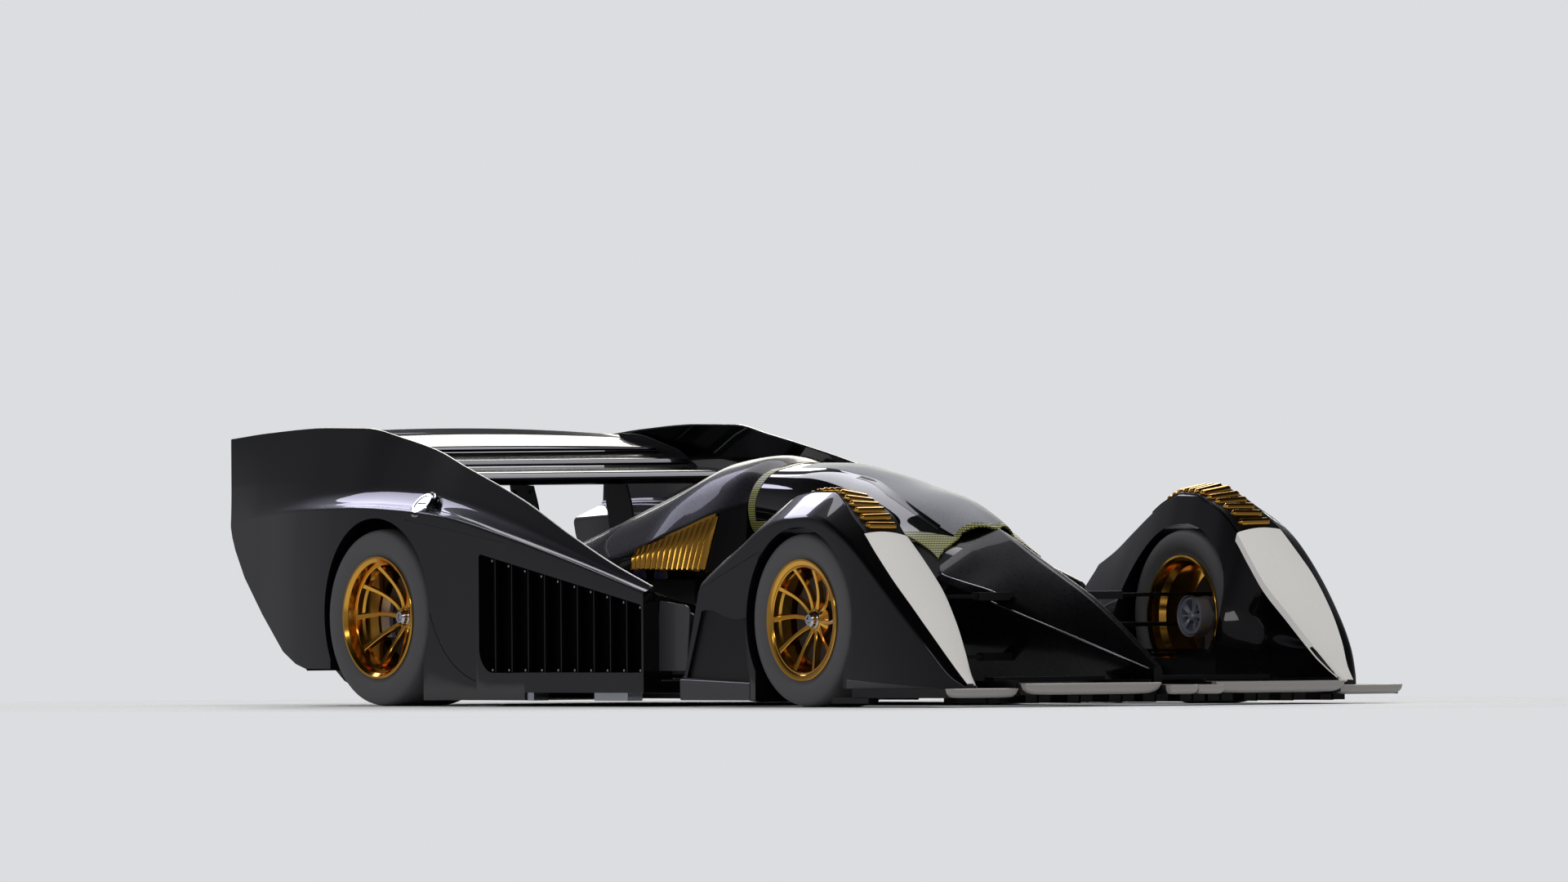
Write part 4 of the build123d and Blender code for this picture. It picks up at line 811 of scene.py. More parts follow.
COVER_WALL = 9
cover_rows = []
for x in stations(COVER, 26):
    roof = glide_row(COVER, x)[0]
    cover_rows.append([(x, y, z) for y, z in rounded(both_sides(cover_half(x), (0, roof, 40)))])
cover = skin("spine_cover", cover_rows)
hollow = []
for x in stations(COVER, 60):
    roof = glide_row(COVER, x)[0]
    half = cover_half(x, COVER_WALL)
    y, z, r = half[-1]
    half[-1] = (y, z - 40, r)
    hollow.append([(x * 0.998, y, z - 2) for y, z in rounded(both_sides(half, (0, roof - COVER_WALL, 40)))])
cut(cover, skin("hollow", hollow), block("slot_left", -1735, -1545, 216, 240, 380, 720),
    block("slot_right", -1735, -1545, -240, -216, 380, 720))
finish_piece(cover, thin_coat, "engine_cover")


# ------------------------------------------------------------------ cover louvres
# A gold-plated cassette of upright louvres stands on each flank of the cover, behind the ring:
# rounded blades overlap like gills between a top rail and a base rail.
def flank_point(x, share, out):
    """Point on the cover's flank, 0 at its foot and 1 at its shoulder, standing off by out."""
    _, y_up, z_up, y_low, z_low = glide_row(COVER, x)
    return (x, y_low + share * (y_up - y_low) + out, z_low + share * (z_up - z_low))


GILLS, GILL_FIRST, GILL_RUN = 14, -560, 394
RAIL_STEPS, RAIL_FIRST, RAIL_RUN = 14, -572, 414
rails = []
for low, high, out in ((0.02, 0.07, 26), (0.93, 0.985, 13), (0.02, 0.985, 5)):
    rows = []
    for k in range(RAIL_STEPS + 1):
        x = RAIL_FIRST + k * (RAIL_RUN / RAIL_STEPS)
        rows.append([flank_point(x, low, 0.5), flank_point(x, low, out), flank_point(x, high, out),
                     flank_point(x, high, 0.5)])
    rails.append(skin("rail", rows))
for k in range(GILLS):
    x = GILL_FIRST + k * (GILL_RUN / (GILLS - 1))
    rows = []
    for share in (0.05, 0.3, 0.5, 0.62, 0.7, 0.82, 0.93):
        swell = 30 if share < 0.55 else 30 - 16 * (share - 0.55) / 0.4
        ring = [(x - 13, 4), (x - 11, swell * 0.8), (x - 2, swell), (x + 8, swell * 0.72),
                (x + 14, swell * 0.25), (x + 14, 4)]
        rows.append([flank_point(a, share, b) for a, b in ring])
    rails.append(skin("gill", rows))
finish_pair(join("cover_gills_left", *rails), gold, "cover_louvre_left")


# ------------------------------------------------------------------ nose
# The nose is one ridged carbon moulding from the cockpit's front bulkhead down to a narrow tip
# on the splitter. Thin beads of polished aluminium along its hard edges and the fins' top edges are
# painted highlights, laid where those lit edges shine. Lugs of satin carbon take the feet of the front
# suspension arms.

# x, then (y, z) pairs from the ridge to the foot
NOSE = [
    (1245, 0.1, 742, 100, 680, 235, 600, 290, 545, 285, 250, 190, 88),
    (1300, 0.1, 722, 100, 664, 262, 565, 300, 525, 285, 250, 190, 87),
    (1355, 4, 702, 100, 646, 290, 530, 308, 509, 285, 250, 190, 86),
    (1458, 10, 660, 110, 599, 262, 498, 290, 477, 270, 250, 185, 85),
    (1600, 14, 598, 100, 545, 226, 463, 253, 430, 225, 246, 170, 86),
    (1808, 16, 512, 90, 455, 180, 385, 201, 361, 180, 240, 140, 88),
    (1960, 16, 448, 75, 395, 147, 326, 163, 312, 140, 205, 110, 90),
    (2200, 14, 321, 45, 288, 84, 238, 92, 229, 80, 150, 60, 92),
    (2465, 12, 158, 15, 154, 20, 142, 22, 139, 20, 98, 16, 92),
]
NOSE_RADII = (6, 60, 10, 3, 24, 4)


def nose_section(x):
    """The nose's cross-section at x."""
    row = glide_row(NOSE, x)
    half = [(row[2 * i], row[2 * i + 1], NOSE_RADII[i]) for i in range(6)]
    return [(x, y, z) for y, z in rounded(both_sides(half))]


nose = skin("nose_shell", [nose_section(x) for x in stations(NOSE, 30)])
cut(nose, drum("rack_tunnel", 1405, -600, 600, 318, 9.5, 32))
finish_piece(nose, thin_coat, "nose_cone")
ARM_FOOT_X = 1685
ARM_FEET = ((438, 350), (196, 330))      # z and outer y of the upper and the lower foot
lugs = []
for side_y in (-1, 1):
    for z, y in ARM_FEET:
        y0, y1 = sorted((side_y * 180, side_y * (y - 0.3)))
        lugs.append(block("lug", ARM_FOOT_X - 24, ARM_FOOT_X + 24, y0, y1, z - 16, z + 16))
finish_piece(join("nose_fittings", *lugs), satin, "nose_cone")


def bead(name, points, radius):
    """Round strip along points, cut square to X at each."""
    turns = [math.pi * k / 6 for k in range(12)]
    return skin(name, [[(x, y + radius * math.cos(a), z + radius * math.sin(a)) for a in turns]
                       for x, y, z in points])


def spread(x0, x1, count):
    """Evenly spaced values from x0 to x1."""
    return [x0 + (x1 - x0) * k / count for k in range(count + 1)]


BEAD_RADIUS = 3.0
# Polished beads on the nose's lower edges: painted highlights where the lit edges shine.
edge_highlight_beads = []
for x0, x1, column in ((1640, 2440, 6), (1360, 1660, 4)):
    for side_y in (-1, 1):
        points = []
        for x in spread(x0, x1, 30):
            y, z = glide_row(NOSE, x)[column:column + 2]
            points.append((x, side_y * (y - 1.5), z - 1))
        edge_highlight_beads.append(bead("seam", points, BEAD_RADIUS))
finish_piece(join("nose_seam_strips", *edge_highlight_beads), polished)
# A polished bead on each fin's top edge: a painted highlight where the lit edge shines.
crest = [max(fin_section(x), key=lambda point: point[2]) for x in stations(SIDE, 30)]
fin_edge_highlight = bead("fin_edge_left", [(x, y, z - BEAD_RADIUS) for x, y, z in crest if x < 250], BEAD_RADIUS)
finish_pair(fin_edge_highlight, polished)


# ------------------------------------------------------------------ tub
# The carbon monocoque round the cockpit, lacquered like the body. Its front shoulders are planed
# off to run into the nose.
tub = link("tub_shell", tidy(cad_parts["tub"].data.copy()))
tub.data.materials.clear()
TENT_HALF, TENT_FALL, TENT_TOP = 380, 232, 1200
TENT_RIDGE = [(960, 873), (1000, 858), (1360, 700)]
tent = [[(x, -TENT_HALF, z - TENT_FALL), (x, 0, z), (x, TENT_HALF, z - TENT_FALL), (x, TENT_HALF, TENT_TOP),
         (x, -TENT_HALF, TENT_TOP)] for x, z in TENT_RIDGE]
cut(tub, skin("planing", tent))
finish_piece(tub, lacquer, "tub")


# ------------------------------------------------------------------ canopy
# A smoked bubble in one sheet is bonded into a frame of bare woven aramid and carbon tape: a ring
# behind, a rail along each sill and a lip at the front. A pale matt grey panel over its roof is painted
# reflection of the bright light that the glass mirrors there. Dark pillars follow its creases, and two
# knuckles on the left sill hinge it.

# x, sill y, z, bulge y, z, crease y, z, roof z
CANOPY = [
    (-10, 262, 697, 286, 800, 125, 948, 968), (250, 275, 697, 280, 800, 120, 948, 968),
    (587, 292, 697, 262, 790, 88, 904, 929), (808, 302, 697, 250, 765, 138, 843, 880),
    (1029, 272, 689, 233, 712, 158, 760, 838), (1215, 246, 622, 200, 650, 145, 682, 772),
    (1350, 262, 548, 190, 594, 110, 642, 703),
]


def arc_through(a, b, c, count):
    """Points on the circle through three points, from a to c, count + 1 of them."""
    (ax, ay), (bx, by), (cx, cy) = a, b, c
    d = 2 * (ax * (by - cy) + bx * (cy - ay) + cx * (ay - by))
    ux = ((ax**2 + ay**2) * (by - cy) + (bx**2 + by**2) * (cy - ay) + (cx**2 + cy**2) * (ay - by)) / d
    uy = ((ax**2 + ay**2) * (cx - bx) + (bx**2 + by**2) * (ax - cx) + (cx**2 + cy**2) * (bx - ax)) / d
    start, end = math.atan2(ay - uy, ax - ux), math.atan2(cy - uy, cx - ux)
    middle = math.atan2(by - uy, bx - ux)
    if start > end:
        start -= 2 * math.pi if not end < middle < start else 0
    elif not start < middle < end:
        end -= 2 * math.pi
    radius = math.hypot(ax - ux, ay - uy)
    return [(ux + radius * math.cos(start + (end - start) * k / count),
             uy + radius * math.sin(start + (end - start) * k / count)) for k in range(count + 1)]


SIDE_N, ROOF_N = 14, 12


def canopy_outline(x):
    """Left half of the bubble's outline at x, from the sill up to the roof's middle."""
    ys, zs, yb, zb, yc, zc, zt = glide_row(CANOPY, x)
    side = arc_through((ys, zs), (yb, zb), (yc, zc), SIDE_N)
    top = arc_through((yc, zc), (0, zt), (-yc, zc), 2 * ROOF_N)[:ROOF_N + 1]
    return side + top[1:]


def canopy_point(x, j):
    """Point j of the whole outline at x: 0 on the right sill, the last on the left sill."""
    half = canopy_outline(x)
    n = len(half) - 1
    if j <= n:
        return Vector((x, -half[j][0], half[j][1]))
    return Vector((x, half[2 * n - j][0], half[2 * n - j][1]))


LAST_J = 2 * (SIDE_N + ROOF_N)
GLASS_BACK, GLASS_FRONT = 34.0, 1324.0
SWEEP_FROM = 1000
FRONT_EDGE = ([0, 7, SIDE_N, SIDE_N + 6, LAST_J / 2], [1276, 1258, 1256, 1290, 1350])


def bubble(x, j):
    """Point of the bubble between two of its outline's points; its front edge is swept back."""
    j = min(max(j, 0), LAST_J)
    if x > SWEEP_FROM:
        edge = glide(*FRONT_EDGE, min(j, LAST_J - j))
        x = SWEEP_FROM + (x - SWEEP_FROM) * (edge - SWEEP_FROM) / (CANOPY[-1][0] - SWEEP_FROM)
    low = min(int(j), LAST_J - 1)
    return canopy_point(x, low).lerp(canopy_point(x, low + 1), j - low)


def bubble_normal(x, j):
    """Outward unit normal of the bubble."""
    x = min(max(x, CANOPY[0][0] + 4), CANOPY[-1][0] - 4)
    j = min(max(j, 0.3), LAST_J - 0.3)
    along = bubble(x + 3, j) - bubble(x - 3, j)
    across = bubble(x, j + 0.3) - bubble(x, j - 0.3)
    return across.cross(along).normalized() * -1


def shell(name, xs, edges, low, high, count):
    """Closed sheet on the bubble between two edges, functions of x, with offsets low and high."""
    verts, faces = [], []
    for offset in (high, low):
        for x in xs:
            j0, j1 = edges(x)
            for k in range(count + 1):
                j = j0 + (j1 - j0) * k / count
                verts.append(tuple((bubble(x, j) + bubble_normal(x, j) * offset) * MM))
    n, rows = count + 1, len(xs)
    size = rows * n
    for i in range(rows - 1):
        for j in range(count):
            a = i * n + j
            faces.append((a, a + 1, a + n + 1, a + n))
            faces.append((a + size, a + size + n, a + size + n + 1, a + size + 1))
    rim = ([i * n for i in range(rows)] + [(rows - 1) * n + j for j in range(1, n)]
           + [i * n + n - 1 for i in range(rows - 2, -1, -1)] + list(range(n - 2, 0, -1)))
    for a, b in zip(rim, rim[1:] + rim[:1]):
        faces.append((a, b, b + size, a + size))
    mesh = bpy.data.meshes.new(name)
    mesh.from_pydata(verts, [], faces)
    return link(name, tidy(mesh))


# Smoked polycarbonate: dark and clear, with a mirror-like face.
smoked, tree, shader = new_material("smoked_polycarbonate", "#3A3B3E", 0.03, Transmission_Weight=0.94,
                                    Coat_Weight=1.0)

# Bare aramid and carbon tape: small olive and black checks, drawn 9 mm apart where the real ones are
# about 2 mm, so that they show.
weave, tree, shader = new_material("bare_aramid_carbon_weave", "#8A8B52", 0.34)
mm_coords = object_mm(tree)
TAPE_PITCH = 9.0
BANDS = 2 * math.pi / 20                 # the wave texture's scale for bands 1 mm apart
warp, weft = [add(tree, "ShaderNodeTexWave", {"wave_type": "BANDS", "bands_direction": way}, Vector=mm_coords,
                  Scale=BANDS / TAPE_PITCH).outputs["Fac"] for way in "XZ"]
checks = add(tree, "ShaderNodeMath", {"operation": "MULTIPLY"}, i0=warp, i1=weft).outputs[0]
add(tree, "ShaderNodeValToRGB", stops=[(0.05, "#33351F"), (0.3, "#8E8F4C"), (0.8, "#D2D082")],
    to=shader.inputs["Base Color"], i0=checks)
add(tree, "ShaderNodeBump", to=shader.inputs["Normal"], Height=checks, Distance=0.25 * MM)

# Painted reflection: an even mid grey in matt paint, faintly speckled, where the canopy's roof glass mirrors
# a bright light.
roof_painted_reflection, tree, shader = new_material("polycarbonate_pale_matt_coat", "#8C8D92", 0.45, Specular_IOR_Level=0.3)
grain_and_reflection_speckle = grain(tree, shader, 9.0, 0.01, 0.4, 0.5)
add(tree, "ShaderNodeValToRGB", stops=[(0.3, "#85868B"), (0.7, "#939499")], to=shader.inputs["Base Color"],
    i0=grain_and_reflection_speckle)

glass = shell("canopy_bubble", [GLASS_BACK] + spread(60, 1300, 40) + [GLASS_FRONT],
              lambda x: (0.8, LAST_J - 0.8), -5, 0, LAST_J)
finish_piece(glass, smoked, "canopy_glass", "canopy")
# The canopy's roof panel is painted reflection: pale matt grey laid over the glass.
roof = shell("canopy_roof", spread(120, 1318, 40), lambda x: (SIDE_N + 0.4, LAST_J - SIDE_N - 0.4), -3, 1, 24)
finish_piece(roof, roof_painted_reflection, body="canopy")
CORNER_BACK = 1060


def corner_top(x):
    """Upper edge of the woven corner: from the sill at its back to the crease at the lip."""
    return 1.6 + (SIDE_N - 1.6) * min(1, (x - CORNER_BACK) / (GLASS_FRONT - CORNER_BACK)) ** 0.8


RAIL, TAPE_IN, TAPE_OUT = 1.7, -7, 1.5   # a rail's width in outline points, and the tape's two faces
bands = [
    shell("ring", [-10, 2, 14, 26, 38], lambda x: (0, LAST_J), TAPE_IN, TAPE_OUT, LAST_J),
    shell("lip", [1318, 1328, 1339, 1350], lambda x: (0, LAST_J), TAPE_IN, TAPE_OUT, LAST_J),
    shell("rail_right", spread(30, 1330, 40), lambda x: (0, RAIL), TAPE_IN, TAPE_OUT, 2),
    shell("rail_left", spread(30, 1330, 40), lambda x: (LAST_J - RAIL, LAST_J), TAPE_IN, TAPE_OUT, 2),
]
for edges in (lambda x: (0.5, corner_top(x)), lambda x: (LAST_J - corner_top(x), LAST_J - 0.5)):
    bands.append(shell("corner", spread(CORNER_BACK, 1330, 14), edges, -6, 1.6, 6))
HINGE_Y, HINGE_Z, HINGE_STATIONS = 318, 690, (315, 865)
for x in HINGE_STATIONS:
    knuckle = lathe("knuckle", [(6.1, -30), (11, -30), (11, 30), (6.1, 30)], 32)
    place(knuckle, (x, HINGE_Y, HINGE_Z), math.pi / 2, "Y")
    bands += [knuckle, block("leaf", x - 30, x + 30, 290, HINGE_Y, HINGE_Z + 5, HINGE_Z + 11)]
finish_piece(join("canopy_surround", *bands), weave, "canopy_frame", "canopy")
pillars = [shell("pillar", spread(520, 1200, 24), edges, -6.5, 1.2, 5) for edges in (
    lambda x: (SIDE_N - 1.5, SIDE_N + 0.8), lambda x: (LAST_J - SIDE_N - 0.8, LAST_J - SIDE_N + 1.5))]
finish_piece(join("canopy_pillars", *pillars), lacquer, body="canopy")


# ------------------------------------------------------------------ tyres and rims
# Slick tyres of moulded rubber on forged, gold-plated centre-lock rims with ten swept blade
# spokes. The rear rims are deeper and dished. A machined alloy nut holds each wheel.

# Moulded slick rubber: dark grey and matt.
rubber, tree, shader = new_material("slick_rubber_moulded", "#525253", 0.62)
grain(tree, shader, 2.5, 0.02, 0.55, 0.72)
WHEEL_FACE = 1090.0
# end, axle x, tyre radius, width, hub's depth and spoke tips' depth below the rim's outer lip
WHEEL_SET = [("front", XF, FRONT_R, 330.0, 62.0, 8.0), ("rear", XR, REAR_R, 370.0, 135.0, 46.0)]
SPOKES, NUT_SIDES = 10, 14


def round_axle(count):
    """Spots for copies turned evenly round the Z axis."""
    return [((0, 0, 0), (0, 0, 2 * math.pi * k / count), (1, 1, 1)) for k in range(count)]


def spoke(face, tip):
    """Blade spoke along X from the hub to the rim, its outer edge at heights face to tip."""
    rows = []
    for k in range(13):
        t = k / 12
        r = 38 + (217 - 38) * t
        swept = 15 * math.sin(math.pi * t) * (1 - 0.3 * t)
        top = face - 2 + (tip - face) * t**1.5
        half = 8.5 + 3.0 * abs(2 * t - 1) ** 2
        deep = 30 - 6 * t
        section = [(-half, -deep), (-half, -2.5), (2.5 - half, 0), (half - 2.5, 0), (half, -2.5),
                   (half * 0.7, -deep)]
        rows.append([(r, swept + a, top + h) for a, h in section])
    return skin("spoke", rows)


for end, axle_x, radius, width, hub_depth, tip_depth in WHEEL_SET:
    half = width / 2
    out, inn = half - 8, 8 - half
    face, tip = out - hub_depth, out - tip_depth
    seat = half - 16.3
    wall = [(seat, 229.2, 1), (seat, 253, 8), (half, 278, 26), (half, 308, 26), (half - 13, radius - 9, 20),
            (half - 48, radius, 42)]
    casing = [(r, h) for h, r in rounded(wall + [(-h, r, c) for h, r, c in reversed(wall)])]
    tyre = lathe("slick_%s_left" % end, casing, 128)
    inner_lip = max(out - 12, tip + 3)
    barrel = lathe("barrel", [
        (246, out - 2), (246, out - 7), (243, out - 9), (229.5, out - 9), (228.6, out - 42), (213, out - 66),
        (213, inn + 66), (228.6, inn + 42), (229.5, inn + 9), (243, inn + 9), (246, inn + 7), (246, inn + 2),
        (244, inn), (236, inn), (222, inn + 8), (220, inn + 42), (205, inn + 66), (205, tip - 38),
        (211, tip - 28), (211, tip - 3), (214, tip), (220, tip), (223, inner_lip), (236, out),
        (244, out)], 128)
    hub = lathe("hub", [(0, face - 30), (78, face - 30), (76, face - 20), (58, face - 9), (44, face),
                        (0, face)])
    blade_part = spoke(face, tip)
    blades = repeat("spokes", blade_part, round_axle(SPOKES), gold)
    drop(blade_part)
    rim = join("centre_lock_rim_%s_left" % end, barrel, hub, blades)
    nut = lathe("wheel_nut_%s_left" % end, [
        (0, face - 2), (37, face - 2), (37, face + 4), (33, face + 8), (30, face + 20), (22, face + 27),
        (13, face + 27), (11, face + 19), (0, face + 19)], NUT_SIDES)
    for piece, slot, material, node in ((tyre, "tyre_rubber", rubber, "tyre_%s_left" % end),
                                        (rim, "gold_plated", gold, "rim_%s_left" % end),
                                        (nut, "alloy", polished, None)):
        place(piece, (axle_x, WHEEL_FACE - half, radius), -math.pi / 2, "X")
        finish_pair(piece, material, node, "wheel_%s_left" % end)


# ------------------------------------------------------------------ brakes and uprights
# Carbon-carbon discs with a fine ring-ground face run in machined alloy uprights. A turned duct
# cup with a five-bladed fan feeds each front disc.

# Ground carbon: dark grey with a fine dull grit.
disc_carbon, tree, shader = new_material("carbon_disc_ground", "#3A3A3D", 0.4)
grain(tree, shader, 1.2, 0.02, 0.3, 0.55)
# Clear anodised aluminium: pale, soft and slightly blue.
machined, tree, shader = new_material("aluminium_anodised_clear", "#C6CAD6", 0.42, 0.7)
grain(tree, shader, 1.0, 0.006, 0.22, 0.4)


def dress(material, *nodes):
    """Gives carried-over nodes their material."""
    for node in nodes:
        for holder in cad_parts[node].material_slots:
            holder.material = material


for corner in ("front_left", "front_right", "rear_left", "rear_right"):
    dress(disc_carbon, "brake_disc_" + corner)
    dress(machined, "upright_" + corner)
BEARING_Y = 862.0
FAN_BLADES = 5
cup = lathe("cup", [(76, 0), (86, 0), (88, -8), (84, -40), (86, -52), (84, -58), (80, -58), (78, -40),
                    (78, -6)])
fan_blade = skin("blade", [
    [(r, a, h) for a, h in ((-w, -44), (-w, -41), (w * 0.2, -35), (w, -35), (w, -39), (w * 0.2, -41))]
    for r, w in ((10, 5), (40, 9), (79, 13))])
fan = repeat("fan", fan_blade, round_axle(FAN_BLADES), machined)
boss = lathe("boss", [(0, -54), (14, -54), (18, -48), (18, -30), (0, -30)], 32)
drop(fan_blade)
duct = join("duct_cup_left", cup, fan, boss)
place(duct, (XF, BEARING_Y, FRONT_R), -math.pi / 2, "X")
finish_pair(duct, machined, body="knuckle_left")


# ------------------------------------------------------------------ rear wing
# Three lacquered carbon planes span the tail between the fins, crowned in the middle. Small end
# plates carry the two flaps, and two swan-neck pylons stand under the main plane.

# x, z and corner radius round each plane's section
MAIN_PLANE = [(-1577, 903, 12), (-1606, 877, 26), (-1815, 884, 60), (-2127, 941, 2), (-2126, 947, 2),
              (-1815, 930, 60), (-1620, 932, 26)]
MID_PLANE = [(-2109, 957, 6), (-2127, 949, 8), (-2245, 966, 30), (-2357, 1001, 1.5), (-2355, 1006, 1.5),
             (-2335, 1000, 8), (-2275, 985, 12), (-2135, 977, 10)]
TOP_FLAP = [(-2337, 1017, 6), (-2355, 1006, 8), (-2475, 1032, 30), (-2596, 1096, 1.5), (-2592, 1102.5, 1.5),
            (-2550, 1079, 10), (-2475, 1058, 60), (-2360, 1031, 10)]
WING_HALF, FLAP_DROOP, WING_STEPS = 868.0, 34.0, 32


def wing_plane(name, corners, droop=0.0):
    """Plane across the car whose upper parts fall by droop towards its ends."""
    outline = rounded(corners, 6)
    low, high = min(z for _, z in outline), max(z for _, z in outline)
    rows = []
    for y in spread(-WING_HALF, WING_HALF, WING_STEPS):
        fall = droop * (y / WING_HALF) ** 2
        rows.append([(x, y, z - fall * (z - low) / (high - low)) for x, z in outline])
    return skin(name, rows)


finish_piece(wing_plane("main_plane", MAIN_PLANE), lacquer, "wing_main")
flaps = join("flap_planes", wing_plane("mid", MID_PLANE), wing_plane("top", TOP_FLAP, FLAP_DROOP))
finish_piece(flaps, lacquer, "wing_flaps")
END_PLATE = [(-2045, 936, 20), (-2605, 936, 20), (-2635, 1000, 20), (-2613, 1076, 14), (-2445, 1070, 60),
             (-2185, 1010, 40)]
END_BOLTS = [(-2080, 950), (-2160, 968), (-2320, 1012), (-2440, 1046), (-2580, 1054)]
bolt_part = lathe("bolt", [(0, 0), (5.5, 0), (5.5, 2.2), (4.5, 3.2), (2.5, 3.2), (2, 2), (0, 2)], 16)


def bolts(places, y, side_y, scale):
    """Bolt heads at (x, z) places on a plate whose outer face is at y on one side of the car."""
    return repeat("bolts", bolt_part, [((x, side_y * y, z), (-side_y * math.pi / 2, 0, 0), (1, 1, 1))
                                       for x, z in places], steel, scale)


plates = []
for side_y in (-1, 1):
    y0, y1 = sorted((side_y * (WING_HALF + 0.3), side_y * (WING_HALF + 8)))
    plates += [prism("plate", rounded(END_PLATE), y0, y1), bolts(END_BOLTS, WING_HALF + 8, side_y, 1.0)]
finish_piece(join("end_plates", *plates), satin, "wing_endplates")
PYLON = [(-1617, 875.7, 4), (-1775, 882, 4), (-1752, 780, 90), (-1712, 600, 90), (-1700, 436, 8),
         (-1575, 462, 8), (-1585, 600, 90), (-1568, 760, 60)]
PYLON_BOLTS = [(-1640, 850), (-1745, 850), (-1650, 500), (-1620, 500)]
PYLON_Y = 228.0
posts = []
for side_y in (-1, 1):
    posts += [prism("post", rounded(PYLON), side_y * PYLON_Y - 5, side_y * PYLON_Y + 5),
              bolts(PYLON_BOLTS, PYLON_Y + 5, side_y, 1.5)]
drop(bolt_part)
finish_piece(join("wing_posts", *posts), satin, "wing_pylons")


# ------------------------------------------------------------------ front splitter
# Stepped carbon plane ahead of the wheels. Each step ends in a rolled lip sprayed satin grey, and
# short carbon vanes hang below it.

# Warm grey paint sprayed to satin: pale against the black splitter.
lip_coat, tree, shader = new_material("satin_warm_grey_paint", "#98948F", 0.34, Coat_Weight=0.4)
grain(tree, shader, 4.0, 0.005, 0.28, 0.4)
# y from, y to, x of the back and of the front edge, underside, top
STEPS = [(0, 133, 2215, 2750, 46, 84), (133, 777, 2155, 2682, 48, 94), (777, 1100, 1900, 2605, 38, 76)]
LIP_SHARES = (0, 0.012, 0.035, 0.08, 0.2, 0.35, 0.5, 0.65, 0.8, 0.92, 0.965, 0.988, 1)
LIP_SWEEP = 0.04
half_round = [math.pi * (q / 10 - 0.5) for q in range(11)]
slabs, lips = [], []
for side_y in (1, -1):
    for y0, y1, back, front, low, high in STEPS:
        slab_rows, lip_rows = [], []
        for share in LIP_SHARES:
            y = side_y * (y0 + (y1 - y0) * share)
            tip = front - (y1 - y0) * LIP_SWEEP * share
            slab_rows.append([(back, y, low), (tip - 32, y, low), (tip - 32, y, high), (back, y, high)])
            thin = 0.12 + 0.88 * (1 - abs(2 * share - 1) ** 12) ** 0.5
            mid, rise = low + (high - low) * (1 - thin / 2), (high - low) / 2 * thin
            arc = [(tip - rise + rise * math.cos(a), y, mid + rise * math.sin(a)) for a in half_round]
            lip_rows.append([(tip - 36, y, mid - rise)] + arc + [(tip - 36, y, mid + rise)])
        slabs.append(skin("step", slab_rows))
        lips.append(skin("lip", lip_rows))
    for y, low in ((133, 50), (777, 45)):
        slabs.append(block("riser", 2155, 2600, side_y * y - 6, side_y * y + 6, low, 105))
    y0, y1 = sorted((side_y * 1052, side_y * 1100))
    slabs.append(block("foot_plate", 1755, 2015, y0, y1, 16, 40))
    for y, back in ((90, 2275), (240, 2255), (430, 2235), (620, 2215), (840, 2175)):
        slabs.append(block("vane", back, back + 300, side_y * y - 4, side_y * y + 4, 14, 50))
        slabs.append(block("skid", back + 180, back + 300, side_y * y - 60, side_y * y + 60, 16, 48))
    y0, y1 = sorted((side_y * 133, side_y * 672))
    slabs.append(block("deck", 2215, 2280, y0, y1, 100, 118))
slabs.append(block("keel", 2235, 2415, -50, 50, 60, 91.7))
finish_piece(join("splitter_plane", *slabs), satin, "front_splitter")
finish_piece(join("splitter_lip", *lips), lip_coat, "front_splitter")


# ------------------------------------------------------------------ floor and running gear
# The floor and the diffuser are bare cured carbon twill. Arms and rack are black oxide steel tube,
# the gearbox and engine sand-cast aluminium, and the tailpipes heat-blued titanium.

# Black oxide steel: blue-black, with a low oiled shine.
oxide, tree, shader = new_material("steel_black_oxide", "#1B1C1F", 0.32, 0.8)
grain(tree, shader, 1.5, 0.006, 0.26, 0.42)
# Sand-cast aluminium: mid grey and grainy.
cast, tree, shader = new_material("aluminium_sand_cast", "#8E9094", 0.55, 0.9)
grain(tree, shader, 1.8, 0.12, 0.45, 0.65)
# Heat-blued titanium: drifts from straw to violet and blue.
blued, tree, shader = new_material("titanium_heat_blued", "#8A7F86", 0.3, 1.0)
tint = grain(tree, shader, 60.0, 0.01, 0.22, 0.36)
add(tree, "ShaderNodeValToRGB", stops=[(0.35, "#9A8C7C"), (0.55, "#7A6F92"), (0.7, "#5D6F96")],
    to=shader.inputs["Base Color"], i0=tint)
# Cured carbon twill: diagonal bands of dark grey, drawn 9 mm wide where the real tow is 3 mm, so that
# they show.
twill, tree, shader = new_material("bare_carbon_twill_cured", "#141416", 0.4)
TOW = 9.0
diagonal = add(tree, "ShaderNodeTexWave", {"wave_type": "BANDS", "bands_direction": "DIAGONAL"},
               Vector=object_mm(tree), Scale=BANDS / TOW).outputs["Fac"]
add(tree, "ShaderNodeValToRGB", stops=[(0.3, "#0C0C0D"), (0.7, "#1D1D20")], to=shader.inputs["Base Color"],
    i0=diagonal)
add(tree, "ShaderNodeBump", to=shader.inputs["Normal"], Height=diagonal, Distance=0.08 * MM)
dress(twill, "floor_pan")
ROOF_LINE = [(-1885, 30), (-2535, 292), (-2535, 300), (-1885, 38)]
STRAKE = [(-1890, 34), (-2200, 42), (-2361, 96), (-2533, 215), (-2533, 296), (-1890, 36)]
STRAKE_Y = (-636, -380, -130, 130, 380, 636)
tunnels = [prism("roof", ROOF_LINE, -640, 640)]
for y in STRAKE_Y:
    tunnels.append(prism("strake", STRAKE, y - 4, y + 4))
finish_piece(join("diffuser_tunnels", *tunnels), twill, "diffuser")
dress(oxide, "front_wishbones", "rear_wishbones", "steering_rack")
dress(cast, "gearbox", "engine_block")
dress(blued, "exhausts")
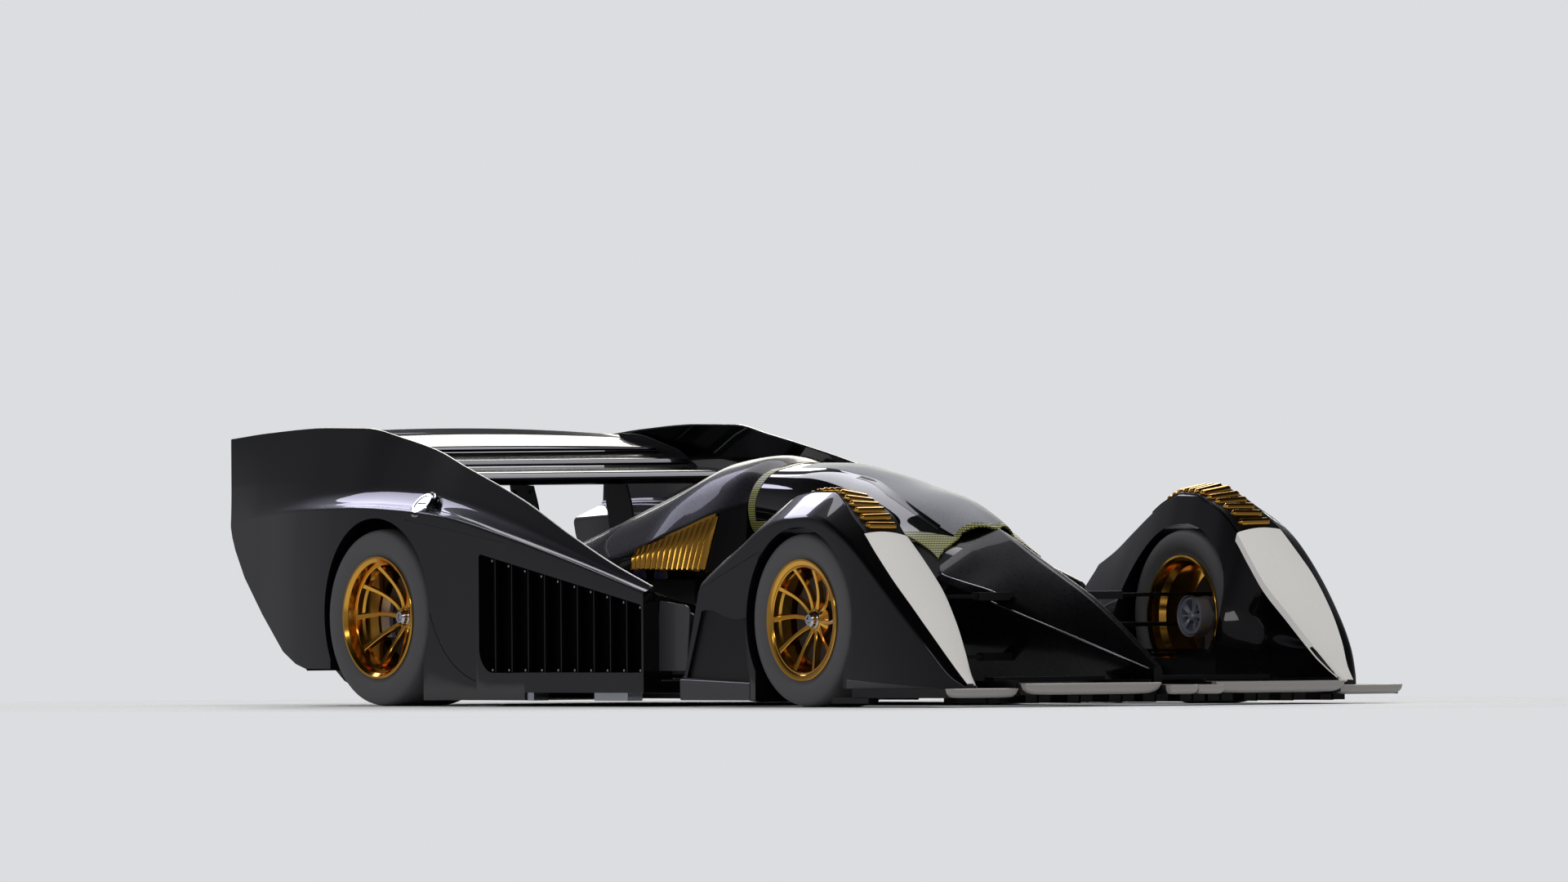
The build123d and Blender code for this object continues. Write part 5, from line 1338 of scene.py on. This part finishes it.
# Moulded red polycarbonate: deep red over small prism facets.
lens, tree, shader = new_material("red_polycarbonate_moulded", "#A3101A", 0.12, Coat_Weight=0.5)
FACET = 8.0
facets = add(tree, "ShaderNodeTexVoronoi", Vector=object_mm(tree), Scale=1 / FACET)
add(tree, "ShaderNodeBump", to=shader.inputs["Normal"], Height=facets.outputs["Distance"], Distance=1.2 * MM)
dress(lens, "rain_light")


# ------------------------------------------------------------------ cockpit
# A reclined seat in suede-covered foam pads on a carbon shell, and a small flat-bottomed wheel
# with leather grips on its column.

# Napped microfibre suede: very dark and soft-edged.
suede, tree, shader = new_material("suede_microfibre_napped", "#232326", 0.85, Sheen_Weight=0.4)
grain(tree, shader, 3.0, 0.15, 0.78, 0.92)
SEAT_OUTLINE = [(75, 606, 10), (115, 606, 10), (335, 212, 60), (655, 182, 60), (795, 246, 10), (795, 113, 6),
                (275, 113, 30), (75, 520, 30)]


def pad(name, x0, z0, x1, z1, half_width, thick):
    """Crowned cushion lying along a line in side view, with a sewn channel every third of its length."""
    rows = []
    line = Vector((x1 - x0, z1 - z0))
    up = Vector((-line.y, line.x)).normalized()
    up = up if up.y > 0 else -up
    for k in range(25):
        t = k / 24
        end = (1 - abs(2 * t - 1) ** 6) ** 0.5
        seam = 1 - 0.16 * math.exp(-((t * 3 - round(t * 3)) / 0.05) ** 2)
        ring = []
        for m in range(24):
            a = 2 * math.pi * m / 24
            c, s = math.cos(a), math.sin(a)
            y = half_width * (abs(c) ** 0.35) * (1 if c > 0 else -1) * (0.93 + 0.07 * end)
            h = thick / 2 * (abs(s) ** 0.6) * (1 if s > 0 else -0.75) * max(0.08, end) * seam
            middle = Vector((x0, z0)) + line * t + up * (h + thick / 2)
            ring.append((middle.x, y, middle.y))
        rows.append(ring)
    return skin(name, rows)


seat_shell = skin("seat_shell", [[(x, y, z) for x, z in rounded(SEAT_OUTLINE)] for y in (-190, -60, 60, 190)])
finish_piece(seat_shell, twill, "seat")
for name, x0, z0, x1, z1, half_width, thick in (("seat_back_pad", 345, 240, 140, 575, 165, 34),
                                                ("seat_base_pad", 360, 216, 640, 190, 170, 30)):
    cushion = pad(name, x0, z0, x1, z1, half_width, thick)
    finish_piece(cushion, suede)
# Perforated leather: dark and dull, dotted with small holes.
leather, tree, shader = new_material("leather_perforated", "#1A1A1C", 0.55)
HOLE_PITCH = 5.0
holes = add(tree, "ShaderNodeTexVoronoi", Vector=object_mm(tree), Scale=1 / HOLE_PITCH)
add(tree, "ShaderNodeBump", to=shader.inputs["Normal"], Height=holes.outputs["Distance"], Distance=0.4 * MM)
dress(leather, "steering_wheel")
